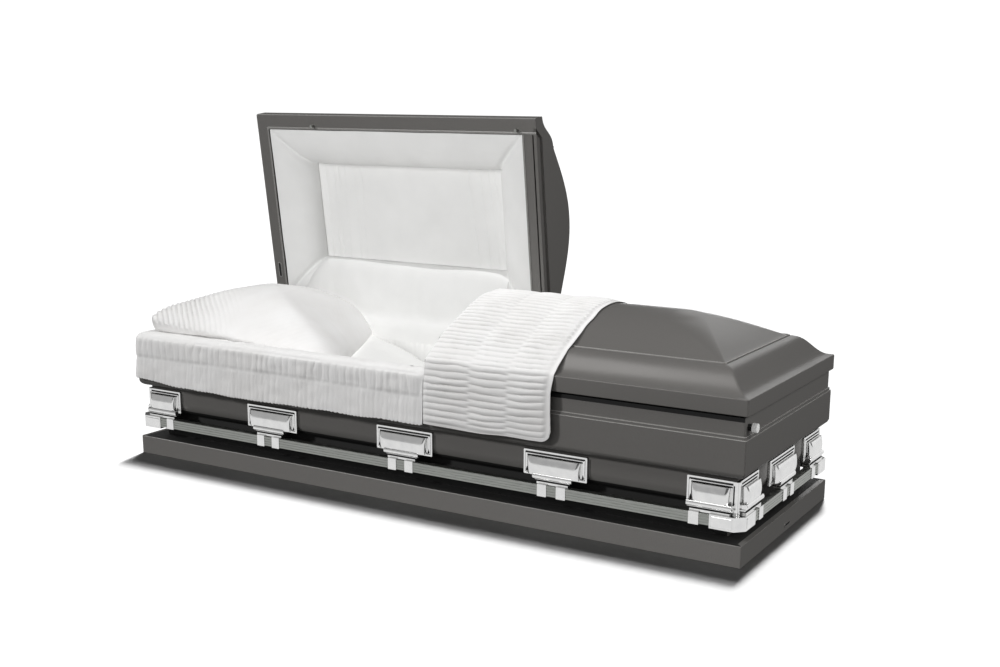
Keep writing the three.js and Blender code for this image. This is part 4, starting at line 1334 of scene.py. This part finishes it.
def throw():
    hang = [(-0.0145, THROW_LOW), (-0.0145, 0.300), (-0.0135, 0.345), (-0.0110, 0.390)]
    hang += [(-0.0075, 0.418), (-0.0035, 0.434)]
    over = offset_line(taut_line(), 0.003)[1:]
    line, length = resample(hang + [tuple(p) for p in over], 470, 8)
    v = np.linspace(0, length, len(line))
    u = np.linspace(0, THROW_WIDTH, 86)
    across, up = np.meshgrid(u, v, indexing="ij")
    height = np.zeros(across.shape)
    total = np.zeros(across.shape)
    crease = np.zeros(across.shape)
    drift = 0.0028 * noise_plane(across / 0.10, up / 0.10, 91)
    drift += 0.0016 * noise_plane(across / 0.035, up / 0.02, 92)
    for k, (low, high) in enumerate(zip(THROW_SEAMS[:-1], THROW_SEAMS[1:])):
        inside = step(low - 0.010, low + 0.010, across) * (1 - step(high - 0.010, high + 0.010, across))
        if k == 0:
            inside = 1 - step(high - 0.010, high + 0.010, across)
        place = np.clip((across - low) / (high - low), 0, 1)
        sag = 0.0014 * np.sin(np.pi * place)
        phase = (up + drift + sag) / THROW_PITCH + 0.5 * (k % 2)
        wave = folds(phase + 0.2 * noise_line(up / 0.05, 93 + k), 0.52)
        full = 0.55 + 0.45 * np.sin(np.pi * np.clip(place, 0.03, 0.97)) ** 0.6
        height += inside * full * wave
        crease += inside * (1 - wave) ** 1.6
        total += inside
    height = (0.0056 + 0.0042 * step(0.22, 0.34, up)) * height / np.maximum(total, 0.2)
    height *= 0.8 + 0.3 * noise_plane(across / 0.06, up / 0.04, 97)
    # Painted shade in the creases: weaker low on the front, and fading out towards the hem edge
    crease *= (0.30 + 0.70 * step(0.18, 0.32, up)) * (1 - step(0.80, 0.98, across / THROW_WIDTH))
    flat = step(THROW_WIDTH - THROW_HEM - 0.006, THROW_WIDTH - THROW_HEM + 0.004, across)
    height = height * (1 - 0.75 * flat) + 0.0008 * flat
    height -= 0.0012 * np.exp(-(((across - THROW_WIDTH + THROW_HEM) / 0.002) ** 2))
    height *= step(0.0, 0.016, up) * 0.85 + 0.15
    height *= np.clip(across / 0.008, 0.3, 1)
    height += 0.0014 * noise_plane(across / 0.11, up / 0.12, 98)
    normals = np.gradient(line, axis=0)
    normals = unit(np.stack([-normals[:, 1], normals[:, 0]], axis=1))
    s = line[None, :, 0] + normals[None, :, 0] * height
    z = line[None, :, 1] + normals[None, :, 1] * height
    past = np.clip(u - (THROW_WIDTH - THROW_CORNER), 0, None)
    lift = THROW_CORNER - np.sqrt(np.maximum(THROW_CORNER**2 - past**2, 0))
    hem = lift + 0.004 * noise_line(u / 0.09, 99) - 0.004 * np.sin(np.pi * np.clip(u / 0.4, 0, 1))
    below = np.clip((0.36 - line[:, 1]) / (0.36 - THROW_LOW), 0, 1) * (v < 0.2)
    z = z + hem[:, None] * below[None, :] ** 1.5
    edge = 0.0022 * noise_line(v / 0.045, 100)
    x = THROW_START + across + edge[None, :] * step(0.8, 1.0, across / THROW_WIDTH)
    points = np.stack([x, s - RIM_Y, z], axis=2)
    made = piece("throw_cloth", sheet_part(points, THROW_THICK), CREPE, "foot_lid", 75)
    mark_painted_crease_shade(made, np.stack([crease, np.zeros(crease.shape)]))
    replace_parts(made, "throw")


base_pan()
body_shell()
lids()
lugs()
corner_lugs()
bars()
mattress()
body_lining()
lid_roll()
lid_panel()
apron_piece = apron()
pillow_piece = pillow()
skirt_piece = skirt()
throw()
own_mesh(skirt_piece)
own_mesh(pillow_piece)
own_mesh(apron_piece)

# Finishes of the solids that stay
FINISHES = {
    "hinge_": PAINT,
    "lid_leaf_": PAINT,
    "latch_pin_": BRUSHED,
    "tube_neck": RUBBER_AND_PAINTED_SHADE,
    "tube_cap": NICKEL,
}
for name, node in frame["nodes"].items():
    for start, finish in FINISHES.items():
        if name.startswith(start):
            node.data.materials.clear()
            node.data.materials.append(finish)


# Stage: white floor, light that only the floor takes, and soft lights for the casket
def stage():
    mesh = bpy.data.meshes.new("floor")
    signs = ((-1, -1), (1, -1), (1, 1), (-1, 1))
    mesh.from_pydata([(FLOOR_HALF * a, FLOOR_HALF * b, FLOOR_Z) for a, b in signs], [], [(0, 1, 2, 3)])
    mesh.materials.append(floor_material())
    floor = linked("floor", mesh)
    floor.visible_diffuse = False
    floor.visible_glossy = False

    def pieces(*names):
        return [bpy.data.objects[name] for name in names]

    def group(name, members, state="INCLUDE"):
        made = bpy.data.collections.new(name)
        for member in members:
            made.objects.link(member)
        for link in made.collection_objects:
            link.light_linking.link_state = state
        return made

    only_floor = group("floor_only", [floor])
    shiny = ("_cast", "_rail", "latch_pin", "tube_cap")
    metal_pieces = [o for o in bpy.data.objects if any(part in o.name for part in shiny)]
    lid_cloth = pieces("lid_padding", "lid_panel_cloth")
    loose_cloth = pieces("skirt_cloth", "throw_cloth")
    inner = pieces("bed", "wall_lining", "apron_flap", "head_pillow")
    key_takers = group("all_but_key_free", [floor] + lid_cloth + metal_pieces + inner, "EXCLUDE")
    no_cloth = group("all_but_floor_and_cloth", [floor] + lid_cloth + loose_cloth + inner, "EXCLUDE")
    no_metal = group("all_but_floor_and_metal", [floor] + metal_pieces, "EXCLUDE")
    only_loose_cloth = group("loose_cloth", loose_cloth)
    only_lid_cloth = group("lid_cloth", lid_cloth)
    inner_cloth = group("inner_cloth", inner)
    not_apron = group("all_but_apron", pieces("apron_flap"), "EXCLUDE")
    pillow_only = group("pillow_only", pieces("head_pillow"))
    plinth = group("plinth", pieces("base_pan_skin"))
    metal = group("metal", metal_pieces)

    def lamp(name, kind, position, target, energy, size, receivers, blockers=None):
        data = bpy.data.lights.new(name, kind)
        data.energy = energy
        made = linked(name, data)
        made.location = position
        made.rotation_euler = (Vector(target) - Vector(position)).to_track_quat("-Z", "Y").to_euler()
        if kind == "SUN":
            data.angle = size
        else:
            data.shape = "RECTANGLE"
            data.size, data.size_y = size
        made.light_linking.receiver_collection = receivers
        if blockers:
            made.light_linking.blocker_collection = blockers
        made.visible_camera = False

    lamp("floor_sun", "SUN", (-0.62, 2.4, 1), (0, 0, 0), 15.0, math.radians(9), only_floor, plinth)
    lamp("floor_second", "SUN", (-0.8, 2.2, 1), (0, 0, 0), 9.0, math.radians(22), only_floor, plinth)
    lamp("key", "SUN", (-2.0, -2.0, 1.4), (0, 0, 0), 1.8, math.radians(7), key_takers)
    lamp("top", "AREA", (-0.2, -1.5, 3.0), (0.5, -0.2, 0.45), 31, (3.4, 0.8), no_cloth)
    lamp("cloth_top", "AREA", (0.2, -0.2, 3.2), (0, 0, 0.4), 66, (4.0, 2.5), only_loose_cloth)
    lamp("front", "AREA", (0.3, -5.5, 1.9), (0.3, 0, 0.4), 29, (7.0, 3.2), no_metal)
    lamp("side", "AREA", (3.6, -0.2, 2.2), (1.0, 0, 0.3), 71, (2.4, 2.4), no_cloth)
    lamp("back", "AREA", (-0.1, 4.2, 2.2), (0.9, 0, 0.55), 10, (1.8, 1.3), no_cloth)
    lamp("back_fill", "AREA", (-1.3, 4.5, 0.5), (-0.2, 0, 0.35), 24, (3.2, 0.8), no_cloth)
    lamp("head_fill", "AREA", (-4.5, 0.3, 1.0), (-1.0, 0, 0.3), 26, (2.0, 1.6), no_cloth)
    lamp("lid_fill", "AREA", (-1.0, -4.0, 1.8), (-0.5, 0.3, 0.7), 125, (4.0, 2.5), only_lid_cloth, not_apron)
    lamp("inner_fill", "AREA", (0.6, -2.0, 3.0), (-0.5, 0, 0.4), 122, (4.0, 3.0), inner_cloth, only_floor)
    lamp("pillow_key", "SUN", (-2.2, -1.3, 1.0), (0, 0, 0), 0.8, math.radians(6), pillow_only)
    lamp("plinth_fill", "AREA", (0.4, -2.6, 0.5), (0.2, -0.35, 0.03), 13, (3.0, 0.4), plinth)
    lamp("metal_low", "AREA", (0.3, 0, 0.002), (0.3, 0, 1), 160, (9.0, 8.0), metal)
    lamp("metal_high", "AREA", (0.8, -2.6, 3.2), (0.3, 0, 0.2), 16, (6.0, 4.0), metal)
    lamp("metal_left", "AREA", (-1.6, -3.4, 1.1), (0, -0.35, 0.2), 13, (6.0, 2.2), metal)
    lamp("metal_right", "AREA", (2.6, 3.0, 1.1), (1.05, 0, 0.2), 22, (4.0, 2.2), metal)

    world = bpy.data.worlds.new("studio")
    bpy.context.scene.world = world
    world.use_nodes = True
    nodes, links = world.node_tree.nodes, world.node_tree.links
    nodes.clear()
    path = nodes.new("ShaderNodeLightPath")
    mix = nodes.new("ShaderNodeMixShader")
    out = nodes.new("ShaderNodeOutputWorld")
    links.new(path.outputs["Is Camera Ray"], mix.inputs["Fac"])
    for socket, strength in ((1, WORLD_LIGHT), (2, WORLD_SEEN)):
        white = nodes.new("ShaderNodeBackground")
        white.inputs["Color"].default_value = (1, 1, 1, 1)
        white.inputs["Strength"].default_value = strength
        links.new(white.outputs["Background"], mix.inputs[socket])
    links.new(mix.outputs["Shader"], out.inputs["Surface"])


stage()


# Camera where the photograph was taken from
def camera():
    yaw, pitch, roll = np.radians(CAMERA_ANGLES)
    back = Vector((math.sin(yaw) * math.cos(pitch), -math.cos(yaw) * math.cos(pitch), math.sin(pitch)))
    right = Vector((math.cos(yaw), math.sin(yaw), 0))
    up = back.cross(right)
    across = right * math.cos(roll) + up * math.sin(roll)
    upright = up * math.cos(roll) - right * math.sin(roll)
    data = bpy.data.cameras.new("camera")
    wide, high = PICTURE
    data.sensor_width = SENSOR_MM
    data.lens = FOCAL_LENGTH * SENSOR_MM / wide
    data.shift_x = (wide / 2 - PICTURE_CENTRE[0]) / wide
    data.shift_y = (PICTURE_CENTRE[1] - high / 2) / wide
    made = linked("camera", data)
    turn = Matrix((across, upright, back)).transposed().to_4x4()
    made.matrix_world = Matrix.Translation(CAMERA_PLACE) @ turn
    bpy.context.scene.camera = made


camera()
bpy.context.scene.view_settings.view_transform = "Standard"
